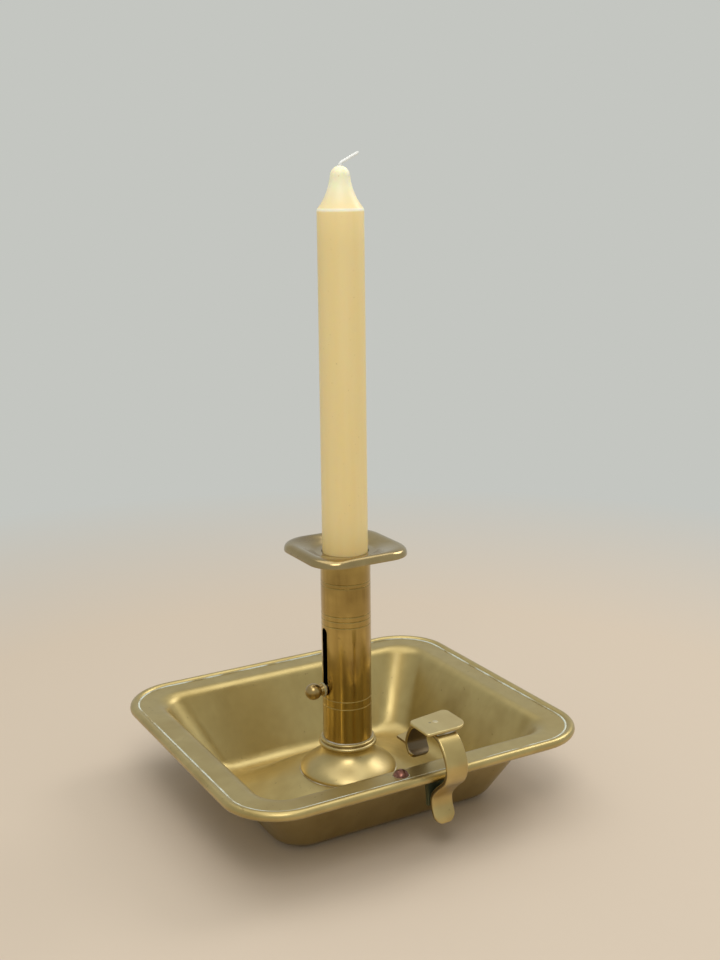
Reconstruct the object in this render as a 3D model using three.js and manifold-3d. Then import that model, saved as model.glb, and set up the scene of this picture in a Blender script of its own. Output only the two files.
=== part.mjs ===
// A brass chamberstick with a push-up ejector, a finger-ring handle and a dinner candle.
// Millimetres, +Z up, drawn with the stem on the Z axis and the table at zero. X runs along the
// tray's long side, the handle is on the -Y side and the ejector knob on the -X side.
import * as THREE from 'three';
import { mergeVertices } from 'three/addons/utils/BufferGeometryUtils.js';
import Module from 'manifold-3d';

const wasm = await Module();
wasm.setup();

// Fits, sheet and facets
const CLEARANCE = 0.3;
const SHEET = 0.9;
const ROUND_STEPS = 32;
const SMALL_STEPS = 16;
const CORNER_STEPS = 6;

// Tray
const TRAY_LENGTH = 183;
const TRAY_WIDTH = 162.6;
const TRAY_HEIGHT = 40;
const TRAY_CORNER = 27.5;
const BEAD_RADIUS = 2.2;
const BEAD_STAND = 1.2;
const FLANGE_WIDTH = 12.6;
const SHOULDER_RADIUS = 5.5;
const WALL_RUN = 27.4;
const FLOOR_FILLET = 8;
const FLOOR_CORNER = 13;
const REST_BAND = 2.2;
const DOME_RISE = 9;
const SEAT_MARGIN = 1.4;

// Stem
const CANDLE_DIAMETER = 22;
const BORE_GAP = 0.4;
const TUBE_WALL = 0.7;
const STEM_HEIGHT = 121.4;
const FOOT_RADIUS = 23.8;
const FOOT_EDGE = 1.1;
const FOOT_HEIGHT = 17.1;
const FOOT_WALL = 2.4;
const FOOT_COLLAR = 0.6;
const FOOT_RING_RADIUS = 1.3;
const FOOT_RING_DROP = 2.9;
const FOOT_NECK_DROP = 5.4;
const LINE_DEPTH = 0.2;
const LINE_WIDTH = 0.6;
const UPPER_LINE_DROPS = [13.1, 15];
const MIDDLE_LINE_DROPS = [29.3, 31.8, 34.8];
const LOWER_LINE_DROPS = [72.4, 76.3];

// Stem fixing
const PLUG_HEIGHT = 9;
const PLUG_CAP = 1.2;
const SCREW_RADIUS = 3;
const SCREW_HEAD_RADIUS = 5.5;
const SCREW_HEAD_HEIGHT = 3;
const SCREW_SLOT_WIDTH = 1.2;
const SCREW_SLOT_DEPTH = 1;
const WASHER_RADIUS = 8;
const WASHER_THICK = 1;

// Ejector
const SHANK_HEIGHT = 53.7;
const SHANK_RADIUS = 2;
const TRAVEL = 29;
const DISC_RISE = 38.6;
const DISC_THICK = 1.6;
const POST_RADIUS = 3;
const HUB_RADIUS = 5.5;
const HUB_WALL = 1.6;
const KNOB_RADIUS = 4;
const KNOB_NECK_LENGTH = 1.4;
const KNOB_NECK_RADIUS = 2.8;
const COLLAR_RADIUS = 3.2;
const COLLAR_THICK = 2;
const SPRING_WIDTH = 6;
const SPRING_THICK = 0.6;
const SPRING_BEND = 2.4;
const SPRING_DROP = 17;
const SPRING_BOW = 3.4;
const SPRING_SCREW_RADIUS = 1.3;
const SPRING_SCREW_HEAD_RADIUS = 2.3;
const SPRING_SCREW_HEAD_HEIGHT = 1.2;

// Drip pan
const PAN_SIZE = 50.6;
const PAN_CORNER = 13.5;
const PAN_FLOOR_MARGIN = 2;
const PAN_RIM_HEIGHT = 4.1;
const PAN_RIM_WIDTH = 4.2;
const PAN_ROLL = 3.7;

// Handle, with its path as [outwards from the rim's edge, upwards from the bead's centre]
const HANDLE_X = 5;
const HANDLE_PATH = [
  [0.3, -22.9], [-0.6, -19.4], [-2.7, -14.8], [-2.5, -10.3], [1.5, -5.5], [7.4, 0.2], [9.3, 7.2], [6.9, 13.7],
  [1, 19.6], [-8.8, 21], [-16.8, 20], [-22.6, 16.4], [-26.5, 8.4], [-24.9, 3.2], [-21.8, 0.5],
];
const STRIP_WIDTH = 11;
const STRIP_THICK = 2.2;
const TAIL_ROUND = 4.9;
const SCROLL_ROUND = 3.2;
const PLATE_LEFT = 10.5;
const PLATE_RIGHT = 11.7;
const PLATE_WIDTH = 20;
const PLATE_SKEW = 3.2;
const PLATE_ROUNDS = { nearLeft: 1.8, nearRight: 7, farRight: 3, farLeft: 3 };
const PLATE_THICK = 1.3;
const PLATE_RIVET_RADIUS = 1.5;
const SPUR_WIDTH = 9;
const SPUR_ROOT = 1;
const SPUR_REACH = 8.6;
const SPUR_TIP_THICK = 1;
const SPUR_SPAN = { top: 0.82, crest: 0.83, foot: 0.89 };
const LEFT_RIVET_OFFSET = 17.9;
const RIGHT_RIVET_OFFSET = 11.4;
const RIVET_HEAD_RADIUS = 3.6;
const RIVET_HEAD_HEIGHT = 2.8;
const RIVET_INSET = 3.3;
const RIVET_RADIUS = 1.4;
const RIVET_TAIL_RADIUS = 2.5;
const RIVET_TAIL_HEIGHT = 1;
const ROVE_RADIUS = 3.3;
const ROVE_THICK = 1;
const BRACKET_THICK = 1.8;
const BRACKET_MARGIN = 5;
const BRACKET_CORNER = 2.2;
const LEG_WIDTH = 12;
const LEG_DROP = 3.6;

// Candle
const CANDLE_LENGTH = 209.3;
const CANDLE_TAPER = 0.25;
const CANDLE_CHAMFER = 0.6;
const TIP_LENGTH = 19;
const TIP_RADIUS = 4.6;
const TIP_DOME = 4.8;
const WICK_RADIUS = 0.8;
const WICK_DEPTH = 6;
const WICK_RISE = 6;
const WICK_LEAN = 9;

// Places worked out from the driving dimensions
const rimZ = TRAY_HEIGHT - BEAD_RADIUS;
const rimY = -TRAY_WIDTH / 2;
const flangeTop = TRAY_HEIGHT - BEAD_STAND;
const flangeBottom = flangeTop - SHEET;
const floorInset = FLANGE_WIDTH + WALL_RUN;
const seatTop = DOME_RISE + SHEET;
const seatRadius = FOOT_RADIUS + SEAT_MARGIN;
const boreRadius = CANDLE_DIAMETER / 2 + BORE_GAP;
const tubeRadius = boreRadius + TUBE_WALL;
const screwHole = SCREW_RADIUS + CLEARANCE;
const shankHole = SHANK_RADIUS + CLEARANCE;
const discTop = SHANK_HEIGHT + DISC_RISE;
const hubTop = SHANK_HEIGHT + shankHole + HUB_WALL;
const hubBottom = SHANK_HEIGHT - shankHole - HUB_WALL;
const rivetY = rimY + FLANGE_WIDTH - RIVET_INSET;
const rivetXs = { left: HANDLE_X - LEFT_RIVET_OFFSET, right: HANDLE_X + RIGHT_RIVET_OFFSET };

// Finishes
const brass = { color: 0xa98f4a, roughness: 0.32, metalness: 1 };
const darkBrass = { color: 0x6f5526, roughness: 0.45, metalness: 1 };
const copper = { color: 0x7a4438, roughness: 0.35, metalness: 1 };
const iron = { color: 0x4c4a47, roughness: 0.5, metalness: 1 };
const wax = { color: 0xe6cf90, roughness: 0.45, metalness: 0 };
const cotton = { color: 0xe9e6dc, roughness: 0.9, metalness: 0 };

const candlestick = new THREE.Group();

function addPiece(name, geometry, finish) {
  const mesh = new THREE.Mesh(geometry, new THREE.MeshStandardMaterial(finish));
  mesh.name = name;
  candlestick.add(mesh);
}

// Joins vertices that share a place, so that the mesh is closed.
function closed(geometry) {
  const bare = geometry.clone();
  bare.deleteAttribute('normal');
  bare.deleteAttribute('uv');
  return mergeVertices(bare, 1e-4);
}

function toSolid(geometry) {
  const merged = closed(geometry);
  const mesh = new wasm.Mesh({
    numProp: 3,
    vertProperties: new Float32Array(merged.attributes.position.array),
    triVerts: new Uint32Array(merged.index.array),
  });
  return new wasm.Manifold(mesh);
}

function toGeometry(solid) {
  const mesh = solid.getMesh();
  const geometry = new THREE.BufferGeometry();
  geometry.setAttribute('position', new THREE.BufferAttribute(new Float32Array(mesh.vertProperties), 3));
  geometry.setIndex(new THREE.BufferAttribute(new Uint32Array(mesh.triVerts), 1));
  return geometry;
}

function cut(geometry, tools) {
  return toGeometry(tools.reduce((solid, tool) => solid.subtract(toSolid(tool)), toSolid(geometry)));
}

function join(geometries) {
  const [first, ...others] = geometries.map(toSolid);
  return toGeometry(others.reduce((solid, other) => solid.add(other), first));
}

// A turned piece about the Z axis from a profile of [radius, height] points.
function turned(profile, steps = ROUND_STEPS) {
  const points = profile.map(([radius, height]) => new THREE.Vector2(radius, height));
  return closed(new THREE.LatheGeometry(points, steps).rotateX(Math.PI / 2));
}

// Closes the profile of a ring on itself.
function ringProfile(profile) {
  return [...profile, profile[0]];
}

function rod(radius, low, high, steps = ROUND_STEPS) {
  return turned([[0, low], [radius, low], [radius, high], [0, high]], steps);
}

// Points on an arc in a plane, from one angle to another in degrees.
function arc(centre, radius, from, to, steps) {
  return Array.from({ length: steps + 1 }, (_, i) => {
    const angle = THREE.MathUtils.degToRad(from + ((to - from) * i) / steps);
    return [centre[0] + radius * Math.cos(angle), centre[1] + radius * Math.sin(angle)];
  });
}

// A level rounded rectangle, as a ring of points.
function roundedRing({ halfX, halfY, corner, z }) {
  const ring = [];
  const signs = [[1, -1], [1, 1], [-1, 1], [-1, -1]];
  signs.forEach(([sx, sy], quarter) => {
    const centre = [sx * (halfX - corner), sy * (halfY - corner)];
    const start = -90 + 90 * quarter;
    arc(centre, corner, start, start + 90, CORNER_STEPS).forEach(([x, y]) => ring.push([x, y, z]));
  });
  return ring;
}

// A closed skin over a loop of rings, each joined to the next and the last to the first.
function skin(sections) {
  const rings = sections.map(roundedRing);
  const count = rings[0].length;
  const index = [];
  rings.forEach((_, r) => {
    const next = (r + 1) % rings.length;
    for (let i = 0; i < count; i += 1) {
      const j = (i + 1) % count;
      const [a, b] = [r * count + i, r * count + j];
      const [c, d] = [next * count + i, next * count + j];
      index.push(a, d, b, a, c, d);
    }
  });
  const geometry = new THREE.BufferGeometry();
  geometry.setAttribute('position', new THREE.Float32BufferAttribute(rings.flat(2), 3));
  geometry.setIndex(index);
  return closed(geometry);
}

// An outline in the Y-Z plane, pushed along X and centred on the given x.
function alongX(outline, width, centreX) {
  const shape = new THREE.Shape(outline.map(([y, z]) => new THREE.Vector2(y, z)));
  const block = new THREE.ExtrudeGeometry(shape, { depth: width, bevelEnabled: false });
  block.translate(0, 0, -width / 2);
  block.applyMatrix4(new THREE.Matrix4().makeBasis(
    new THREE.Vector3(0, 1, 0), new THREE.Vector3(0, 0, 1), new THREE.Vector3(1, 0, 0)));
  return closed(block.translate(centreX, 0, 0));
}

function roundedPlate(length, width, corner, low, high, centre) {
  const ring = roundedRing({ halfX: length / 2, halfY: width / 2, corner, z: 0 });
  const shape = new THREE.Shape(ring.map(([x, y]) => new THREE.Vector2(x, y)));
  const plate = new THREE.ExtrudeGeometry(shape, { depth: high - low, bevelEnabled: false });
  return closed(plate.translate(centre[0], centre[1], low));
}

// Tray: the sheet's upper and lower faces are followed from the middle hole to the rolled edge.
function trayRing(inset, z) {
  const wallShare = Math.max(0, (inset - FLANGE_WIDTH) / WALL_RUN);
  const flangeCorner = TRAY_CORNER - FLANGE_WIDTH;
  const wallCorner = THREE.MathUtils.lerp(flangeCorner, FLOOR_CORNER, Math.min(1, wallShare));
  return {
    halfX: TRAY_LENGTH / 2 - inset,
    halfY: TRAY_WIDTH / 2 - inset,
    corner: inset < FLANGE_WIDTH ? TRAY_CORNER - inset : wallCorner,
    z,
  };
}

function domeRings(lift) {
  const rest = trayRing(floorInset + REST_BAND, lift);
  const seat = { halfX: seatRadius, halfY: seatRadius, corner: seatRadius, z: DOME_RISE + lift };
  const steps = 4;
  const rings = Array.from({ length: steps + 1 }, (_, i) => {
    const share = i / steps;
    const eased = share - Math.sin(2 * Math.PI * share) / (8 * Math.PI);
    return {
      halfX: THREE.MathUtils.lerp(seat.halfX, rest.halfX, share),
      halfY: THREE.MathUtils.lerp(seat.halfY, rest.halfY, share),
      corner: THREE.MathUtils.lerp(seat.corner, rest.corner, share),
      z: THREE.MathUtils.lerp(seat.z, rest.z, eased),
    };
  });
  return [{ halfX: screwHole, halfY: screwHole, corner: screwHole, z: seat.z }, ...rings];
}

// The fillet at the floor, the sloped wall and the shoulder, on one face of the sheet.
function wallRings(lift) {
  const middle = SHEET / 2;
  const bend = FLOOR_FILLET + SHOULDER_RADIUS;
  const rise = flangeTop - SHEET;
  const slope = Math.atan2(rise - bend, WALL_RUN) + Math.asin(bend / Math.hypot(WALL_RUN, rise - bend));
  const lean = THREE.MathUtils.radToDeg(slope);
  const offset = lift - middle;
  const fillet = arc([0, middle + FLOOR_FILLET], FLOOR_FILLET - offset, -90, lean - 90, 4);
  const shoulder = arc([WALL_RUN, flangeTop - middle - SHOULDER_RADIUS], SHOULDER_RADIUS + offset,
    90 + lean, 90, 3);
  return [...fillet, ...shoulder].map(([out, z]) => trayRing(floorInset - out, z));
}

// The roll round the rim wire: over the top, down the outside and back under the flange.
function beadRings() {
  const inner = BEAD_RADIUS - SHEET;
  const rollEnd = -150;
  const topMeet = 180 - THREE.MathUtils.radToDeg(Math.asin((flangeTop - rimZ) / BEAD_RADIUS));
  const lowMeet = 180 - THREE.MathUtils.radToDeg(Math.asin((flangeBottom - rimZ) / inner));
  const outerFace = arc([0, rimZ], BEAD_RADIUS, topMeet, rollEnd, 11);
  const innerFace = arc([0, rimZ], inner, rollEnd, lowMeet, 9);
  return [...outerFace, ...innerFace].map(([out, z]) => trayRing(BEAD_RADIUS - out, z));
}

function traySheet() {
  const upper = [...domeRings(SHEET), ...wallRings(SHEET)];
  const lower = [...domeRings(0), ...wallRings(0)].reverse();
  return skin([...upper, ...beadRings(), ...lower]);
}

const rivetHoles = Object.values(rivetXs).map((x) =>
  rod(RIVET_RADIUS + CLEARANCE, rimZ / 2, 2 * TRAY_HEIGHT, SMALL_STEPS).translate(x, rivetY, 0));
addPiece('tray', cut(traySheet(), rivetHoles), brass);

// Rim wire: a bent ring that lies inside the roll.
const wireRadius = BEAD_RADIUS - SHEET - CLEARANCE;
const wireSection = arc([0, rimZ], wireRadius, 0, -315, 7).map(([out, z]) => trayRing(BEAD_RADIUS - out, z));
addPiece('rim_wire', skin(wireSection), iron);

// Stem foot: a hollow bell with a ring moulding, standing on the raised floor.
const footTop = seatTop + FOOT_HEIGHT;
const footBore = tubeRadius + CLEARANCE;
const collarRadius = footBore + FOOT_COLLAR;
const neckZ = footTop - FOOT_NECK_DROP;
const bellRun = FOOT_RADIUS - collarRadius;
const bellRise = neckZ - seatTop - FOOT_EDGE;
const bell = new THREE.CubicBezierCurve(
  new THREE.Vector2(FOOT_RADIUS, seatTop + FOOT_EDGE),
  new THREE.Vector2(FOOT_RADIUS - 0.2 * bellRun, seatTop + FOOT_EDGE + 0.38 * bellRise),
  new THREE.Vector2(collarRadius + 0.12 * bellRun, neckZ - 0.45 * bellRise),
  new THREE.Vector2(collarRadius, neckZ));
const bellMiddle = bell.getPoint(0.5);
addPiece('stem_foot', turned(ringProfile([
  [FOOT_RADIUS - FOOT_WALL, seatTop],
  [FOOT_RADIUS, seatTop],
  ...bell.getPoints(8).map((point) => [point.x, point.y]),
  ...arc([collarRadius, footTop - FOOT_RING_DROP], FOOT_RING_RADIUS, -90, 90, 5),
  [collarRadius, footTop],
  [footBore, footTop],
  [footBore, neckZ - 1.7 * FOOT_WALL],
  [bellMiddle.x - FOOT_WALL / 2, bellMiddle.y - 0.8 * FOOT_WALL],
])), brass);

// Stem tube: stands on the raised floor, with incised lines and the ejector's slot.
function groove(drop) {
  const z = STEM_HEIGHT - drop;
  return [
    [tubeRadius, z - LINE_WIDTH / 2],
    [tubeRadius - LINE_DEPTH, z],
    [tubeRadius, z + LINE_WIDTH / 2],
  ];
}

const slotOutline = [
  ...arc([0, SHANK_HEIGHT], shankHole, 180, 360, 8),
  ...arc([0, SHANK_HEIGHT + TRAVEL], shankHole, 0, 180, 8),
];
const slotTool = alongX(slotOutline, tubeRadius, -tubeRadius);
const lineDrops = [...LOWER_LINE_DROPS, ...MIDDLE_LINE_DROPS, ...UPPER_LINE_DROPS].sort((a, b) => b - a);
addPiece('stem_tube', cut(turned(ringProfile([
  [boreRadius, seatTop],
  [tubeRadius, seatTop],
  ...lineDrops.flatMap(groove),
  [tubeRadius, STEM_HEIGHT],
  [boreRadius, STEM_HEIGHT],
])), [slotTool]), brass);

// Stem fixing: a plug in the tube's end, and a screw with its washer from below.
const plugTop = seatTop + PLUG_HEIGHT;
const screwTop = plugTop - PLUG_CAP - CLEARANCE;
addPiece('stem_plug', turned([
  [0, plugTop - PLUG_CAP],
  [screwHole, plugTop - PLUG_CAP],
  [screwHole, seatTop],
  [boreRadius - CLEARANCE, seatTop],
  [boreRadius - CLEARANCE, plugTop],
  [0, plugTop],
]), brass);
const washerLow = DOME_RISE - WASHER_THICK;
addPiece('tie_washer', turned(ringProfile([
  [screwHole, washerLow],
  [WASHER_RADIUS, washerLow],
  [WASHER_RADIUS, DOME_RISE],
  [screwHole, DOME_RISE],
]), SMALL_STEPS), iron);
const headLow = washerLow - SCREW_HEAD_HEIGHT;
const screwBlank = turned([
  [0, headLow],
  [SCREW_HEAD_RADIUS, headLow],
  [SCREW_HEAD_RADIUS, washerLow],
  [SCREW_RADIUS, washerLow],
  [SCREW_RADIUS, screwTop],
  [0, screwTop],
], SMALL_STEPS);
const screwSlot = new THREE.BoxGeometry(3 * SCREW_HEAD_RADIUS, SCREW_SLOT_WIDTH, 2 * SCREW_SLOT_DEPTH);
addPiece('tie_screw', cut(screwBlank, [screwSlot.translate(0, 0, headLow)]), iron);

// Drip pan: a square dish with rounded corners and a turned-down edge, soldered on the tube.
function panRing(half, z) {
  const corner = Math.min(half, PAN_CORNER + Math.max(0, PAN_SIZE / 2 - PAN_RIM_WIDTH - half));
  return { halfX: half, halfY: half, corner, z };
}

function panFace(lift) {
  const half = PAN_SIZE / 2;
  const floor = STEM_HEIGHT + lift;
  const floorRadius = tubeRadius + PAN_FLOOR_MARGIN;
  const crest = floor + PAN_RIM_HEIGHT - SHEET;
  const side = SHEET - lift;
  return [
    { halfX: boreRadius, halfY: boreRadius, corner: boreRadius, z: floor },
    { halfX: floorRadius, halfY: floorRadius, corner: floorRadius, z: floor },
    panRing(half - 1.7 * PAN_RIM_WIDTH, floor + 0.45 * PAN_RIM_HEIGHT),
    panRing(half - 1.15 * PAN_RIM_WIDTH, crest - 0.1 * PAN_RIM_HEIGHT),
    panRing(half - 0.8 * PAN_RIM_WIDTH, crest),
    panRing(half - 0.4 * PAN_RIM_WIDTH - 0.4 * side, crest - 0.12 * PAN_ROLL),
    panRing(half - 0.1 * PAN_RIM_WIDTH - 0.8 * side, crest - 0.4 * PAN_ROLL),
    panRing(half - side, crest - 0.75 * PAN_ROLL),
  ];
}

const panLip = STEM_HEIGHT + PAN_RIM_HEIGHT - PAN_ROLL - SHEET / 4;
addPiece('drip_pan', skin([
  ...panFace(SHEET),
  panRing(PAN_SIZE / 2 - SHEET / 4, panLip),
  panRing(PAN_SIZE / 2 - SHEET * 1.25, panLip),
  ...panFace(0).reverse(),
]), brass);

// Lays a piece that was turned about Z along -X, at the height of the shank.
function outThroughSlot(geometry) {
  return geometry.rotateY(-Math.PI / 2).translate(0, 0, SHANK_HEIGHT);
}

// Ejector: a disc on a post under the candle, its shank through the slot, a collar and a ball outside.
const springScrewTop = SHANK_HEIGHT - shankHole;
const springHole = rod(SPRING_SCREW_RADIUS + CLEARANCE, 0, SHANK_HEIGHT, SMALL_STEPS);
const shankBore = rod(shankHole, -HUB_RADIUS / 2, 2 * tubeRadius, SMALL_STEPS);
const discBlank = turned([
  [0, hubBottom],
  [HUB_RADIUS, hubBottom],
  [HUB_RADIUS, hubTop],
  [POST_RADIUS, hubTop],
  [POST_RADIUS, discTop - DISC_THICK],
  [boreRadius - BORE_GAP, discTop - DISC_THICK],
  [boreRadius - BORE_GAP, discTop],
  [0, discTop],
]);
addPiece('ejector_disc', cut(discBlank, [outThroughSlot(shankBore), springHole]), darkBrass);

const collarFace = tubeRadius + CLEARANCE;
const knobFace = collarFace + COLLAR_THICK;
const neckAngle = -Math.acos(KNOB_NECK_RADIUS / KNOB_RADIUS);
const knobCentre = knobFace + KNOB_NECK_LENGTH - KNOB_RADIUS * Math.sin(neckAngle);
const shank = rod(SHANK_RADIUS, -HUB_RADIUS / 2 + CLEARANCE, knobCentre, SMALL_STEPS);
addPiece('knob_shank', outThroughSlot(shank), iron);
const collar = turned(ringProfile([
  [shankHole, collarFace],
  [COLLAR_RADIUS, collarFace],
  [COLLAR_RADIUS, knobFace],
  [shankHole, knobFace],
]), SMALL_STEPS);
addPiece('knob_collar', outThroughSlot(collar), brass);
const ball = turned([
  [0, knobCentre + CLEARANCE],
  [shankHole, knobCentre + CLEARANCE],
  [shankHole, knobFace],
  [KNOB_NECK_RADIUS, knobFace],
  ...arc([0, knobCentre], KNOB_RADIUS, THREE.MathUtils.radToDeg(neckAngle), 75, 7),
  [0, knobCentre + KNOB_RADIUS],
], SMALL_STEPS);
addPiece('ejector_knob', outThroughSlot(ball), brass);

// Friction spring: a bowed leaf under the hub that rubs on the bore, opposite the slot.
const leafX = Math.sqrt((boreRadius - CLEARANCE) ** 2 - (SPRING_WIDTH / 2) ** 2);
const leafBend = [leafX - SPRING_BEND, hubBottom - SPRING_BEND];
const leafOutline = [
  [-HUB_RADIUS / 2, hubBottom],
  ...arc(leafBend, SPRING_BEND, 90, 0, 4),
  [leafX, hubBottom - SPRING_DROP / 2],
  [leafX - SPRING_BOW, hubBottom - SPRING_DROP],
  [leafX - SPRING_BOW - SPRING_THICK, hubBottom - SPRING_DROP],
  [leafX - SPRING_THICK, hubBottom - SPRING_DROP / 2],
  ...arc(leafBend, SPRING_BEND - SPRING_THICK, 0, 90, 4),
  [-HUB_RADIUS / 2, hubBottom - SPRING_THICK],
];
const leafBlank = alongX(leafOutline, SPRING_WIDTH, 0).rotateZ(-Math.PI / 2);
addPiece('ejector_spring', cut(leafBlank, [springHole]), darkBrass);
const springHeadTop = hubBottom - SPRING_THICK;
const springHeadLow = springHeadTop - SPRING_SCREW_HEAD_HEIGHT;
addPiece('spring_screw', turned([
  [0, springHeadLow],
  [SPRING_SCREW_HEAD_RADIUS * 0.7, springHeadLow],
  [SPRING_SCREW_HEAD_RADIUS, springHeadTop - SPRING_SCREW_HEAD_HEIGHT / 2],
  [SPRING_SCREW_HEAD_RADIUS, springHeadTop],
  [SPRING_SCREW_RADIUS, springHeadTop],
  [SPRING_SCREW_RADIUS, springScrewTop - CLEARANCE],
  [0, springScrewTop - CLEARANCE],
], SMALL_STEPS), iron);

// Handle strip: a flat strip along the path, with its ends rounded.
const stripPath = new THREE.SplineCurve(
  HANDLE_PATH.map(([out, up]) => new THREE.Vector2(rimY - out, rimZ + up)));

// Points along the strip, moved off its outer face towards the inside of the ring.
function stripFace(depth, from, to, steps) {
  return Array.from({ length: steps + 1 }, (_, i) => {
    const share = from + ((to - from) * i) / steps;
    const point = stripPath.getPoint(share);
    const tangent = stripPath.getTangent(share);
    return [point.x + tangent.y * depth, point.y - tangent.x * depth];
  });
}

// Rounds the corners of an end of the strip that points along the given direction.
function endTrim(tip, direction, radius) {
  const half = STRIP_WIDTH / 2;
  const wide = half + radius;
  const outline = [
    [-wide, -radius],
    ...arc([radius - half, -radius], radius, 180, 90, 5),
    ...arc([half - radius, -radius], radius, 90, 0, 5),
    [wide, -radius], [wide, radius], [-wide, radius],
  ];
  const shape = new THREE.Shape(outline.map(([x, y]) => new THREE.Vector2(x, y)));
  const reach = 4 * STRIP_THICK;
  const tool = new THREE.ExtrudeGeometry(shape, { depth: reach, bevelEnabled: false });
  const across = new THREE.Vector3(1, 0, 0);
  const forward = new THREE.Vector3(0, direction.x, direction.y);
  const upright = new THREE.Vector3().crossVectors(across, forward);
  tool.translate(0, 0, -reach / 2);
  tool.applyMatrix4(new THREE.Matrix4().makeBasis(across, forward, upright));
  return closed(tool.translate(HANDLE_X, tip[0], tip[1]));
}

const stripSteps = 48;
const stripOuter = stripFace(0, 0, 1, stripSteps);
const stripInner = stripFace(STRIP_THICK, 0, 1, stripSteps);
const stripBlank = alongX([...stripOuter, ...[...stripInner].reverse()], STRIP_WIDTH, HANDLE_X);
const tailTip = stripPath.getTangent(0).negate();
const tailEnd = endTrim(stripOuter[0], tailTip, TAIL_ROUND);
const scrollTip = stripPath.getTangent(1);
const scrollEnd = endTrim(stripOuter[stripSteps], scrollTip, SCROLL_ROUND);
const crown = stripOuter.reduce((best, point) => (point[1] > best[1] ? point : best));
const plateLow = crown[1] + CLEARANCE;
const plateTop = plateLow + PLATE_THICK;
const plateHole = rod(PLATE_RIVET_RADIUS + CLEARANCE, plateLow - 2 * STRIP_THICK, 2 * plateTop, SMALL_STEPS)
  .translate(HANDLE_X, crown[0], 0);
addPiece('handle_strip', cut(stripBlank, [tailEnd, scrollEnd, plateHole]), brass);

// Thumb plate on the ring's crown, held by a flush rivet.
const plateSide = PLATE_WIDTH / 2;
const plateCorners = [
  [-PLATE_LEFT, -plateSide, PLATE_ROUNDS.nearLeft],
  [PLATE_RIGHT, -plateSide, PLATE_ROUNDS.nearRight],
  [PLATE_RIGHT, plateSide, PLATE_ROUNDS.farRight],
  [-PLATE_LEFT, plateSide - PLATE_SKEW, PLATE_ROUNDS.farLeft],
];
const plateShape = new THREE.Shape();
plateCorners.forEach(([x, y, round], i) => {
  const [before, after] = [plateCorners.at(i - 1), plateCorners[(i + 1) % plateCorners.length]];
  const corner = new THREE.Vector2(x, y);
  const [start, stop] = [before, after].map((point) =>
    new THREE.Vector2(point[0] - x, point[1] - y).setLength(round).add(corner));
  plateShape[i === 0 ? 'moveTo' : 'lineTo'](start.x, start.y);
  plateShape.quadraticCurveTo(x, y, stop.x, stop.y);
});
const plate = new THREE.ExtrudeGeometry(plateShape,
  { depth: PLATE_THICK, curveSegments: CORNER_STEPS, bevelEnabled: false });
plate.translate(HANDLE_X, crown[0], plateLow);
addPiece('thumb_plate', cut(plate, [plateHole]), brass);
const plateRivet = rod(PLATE_RIVET_RADIUS, crown[1] - STRIP_THICK, plateTop, SMALL_STEPS);
addPiece('plate_rivet', plateRivet.translate(HANDLE_X, crown[0], 0), brass);

// Scroll spur: a wedge on the scroll's back, between shares of the path, with a thin tip towards the stem.
const spurSteps = 5;
const spurInner = stripFace(-CLEARANCE, SPUR_SPAN.top, SPUR_SPAN.foot, spurSteps);
const spurRoot = stripFace(-CLEARANCE - SPUR_ROOT, SPUR_SPAN.crest, SPUR_SPAN.top, 1);
const spurEnd = spurInner[spurInner.length - 1];
const spurTipY = spurEnd[0] + SPUR_REACH;
addPiece('scroll_spur', alongX([
  ...spurInner,
  [spurTipY, spurEnd[1]],
  [spurTipY, spurEnd[1] + SPUR_TIP_THICK],
  ...spurRoot,
], SPUR_WIDTH, HANDLE_X), brass);

// Bracket: a pad riveted under the flange and a leg behind the strip's hollow.
const lowerStrip = stripInner.slice(0, stripSteps / 3);
const hollow = lowerStrip.reduce((best, point) => (point[0] > best[0] ? point : best));
const legFace = hollow[0] + CLEARANCE;
const padLow = flangeBottom - BRACKET_THICK;
const padLength = LEFT_RIVET_OFFSET + RIGHT_RIVET_OFFSET + 2 * BRACKET_MARGIN;
const padOuter = rimY + 2 * BEAD_RADIUS + CLEARANCE;
const padInner = rimY + FLANGE_WIDTH - CLEARANCE;
const padCentre = [(rivetXs.left + rivetXs.right) / 2, (padInner + padOuter) / 2];
const pad = roundedPlate(padLength, padInner - padOuter, BRACKET_CORNER, padLow, flangeBottom, padCentre);
const legRoot = Math.max(legFace, padOuter);
const leg = alongX([
  [legFace, hollow[1] - LEG_DROP],
  [legFace + BRACKET_THICK, hollow[1] - LEG_DROP],
  [legRoot + 2 * BRACKET_THICK, flangeBottom],
  [legRoot, flangeBottom],
  [legFace, hollow[1] + BRACKET_THICK],
], LEG_WIDTH, HANDLE_X);
addPiece('handle_bracket', cut(join([pad, leg]), rivetHoles), darkBrass);

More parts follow.
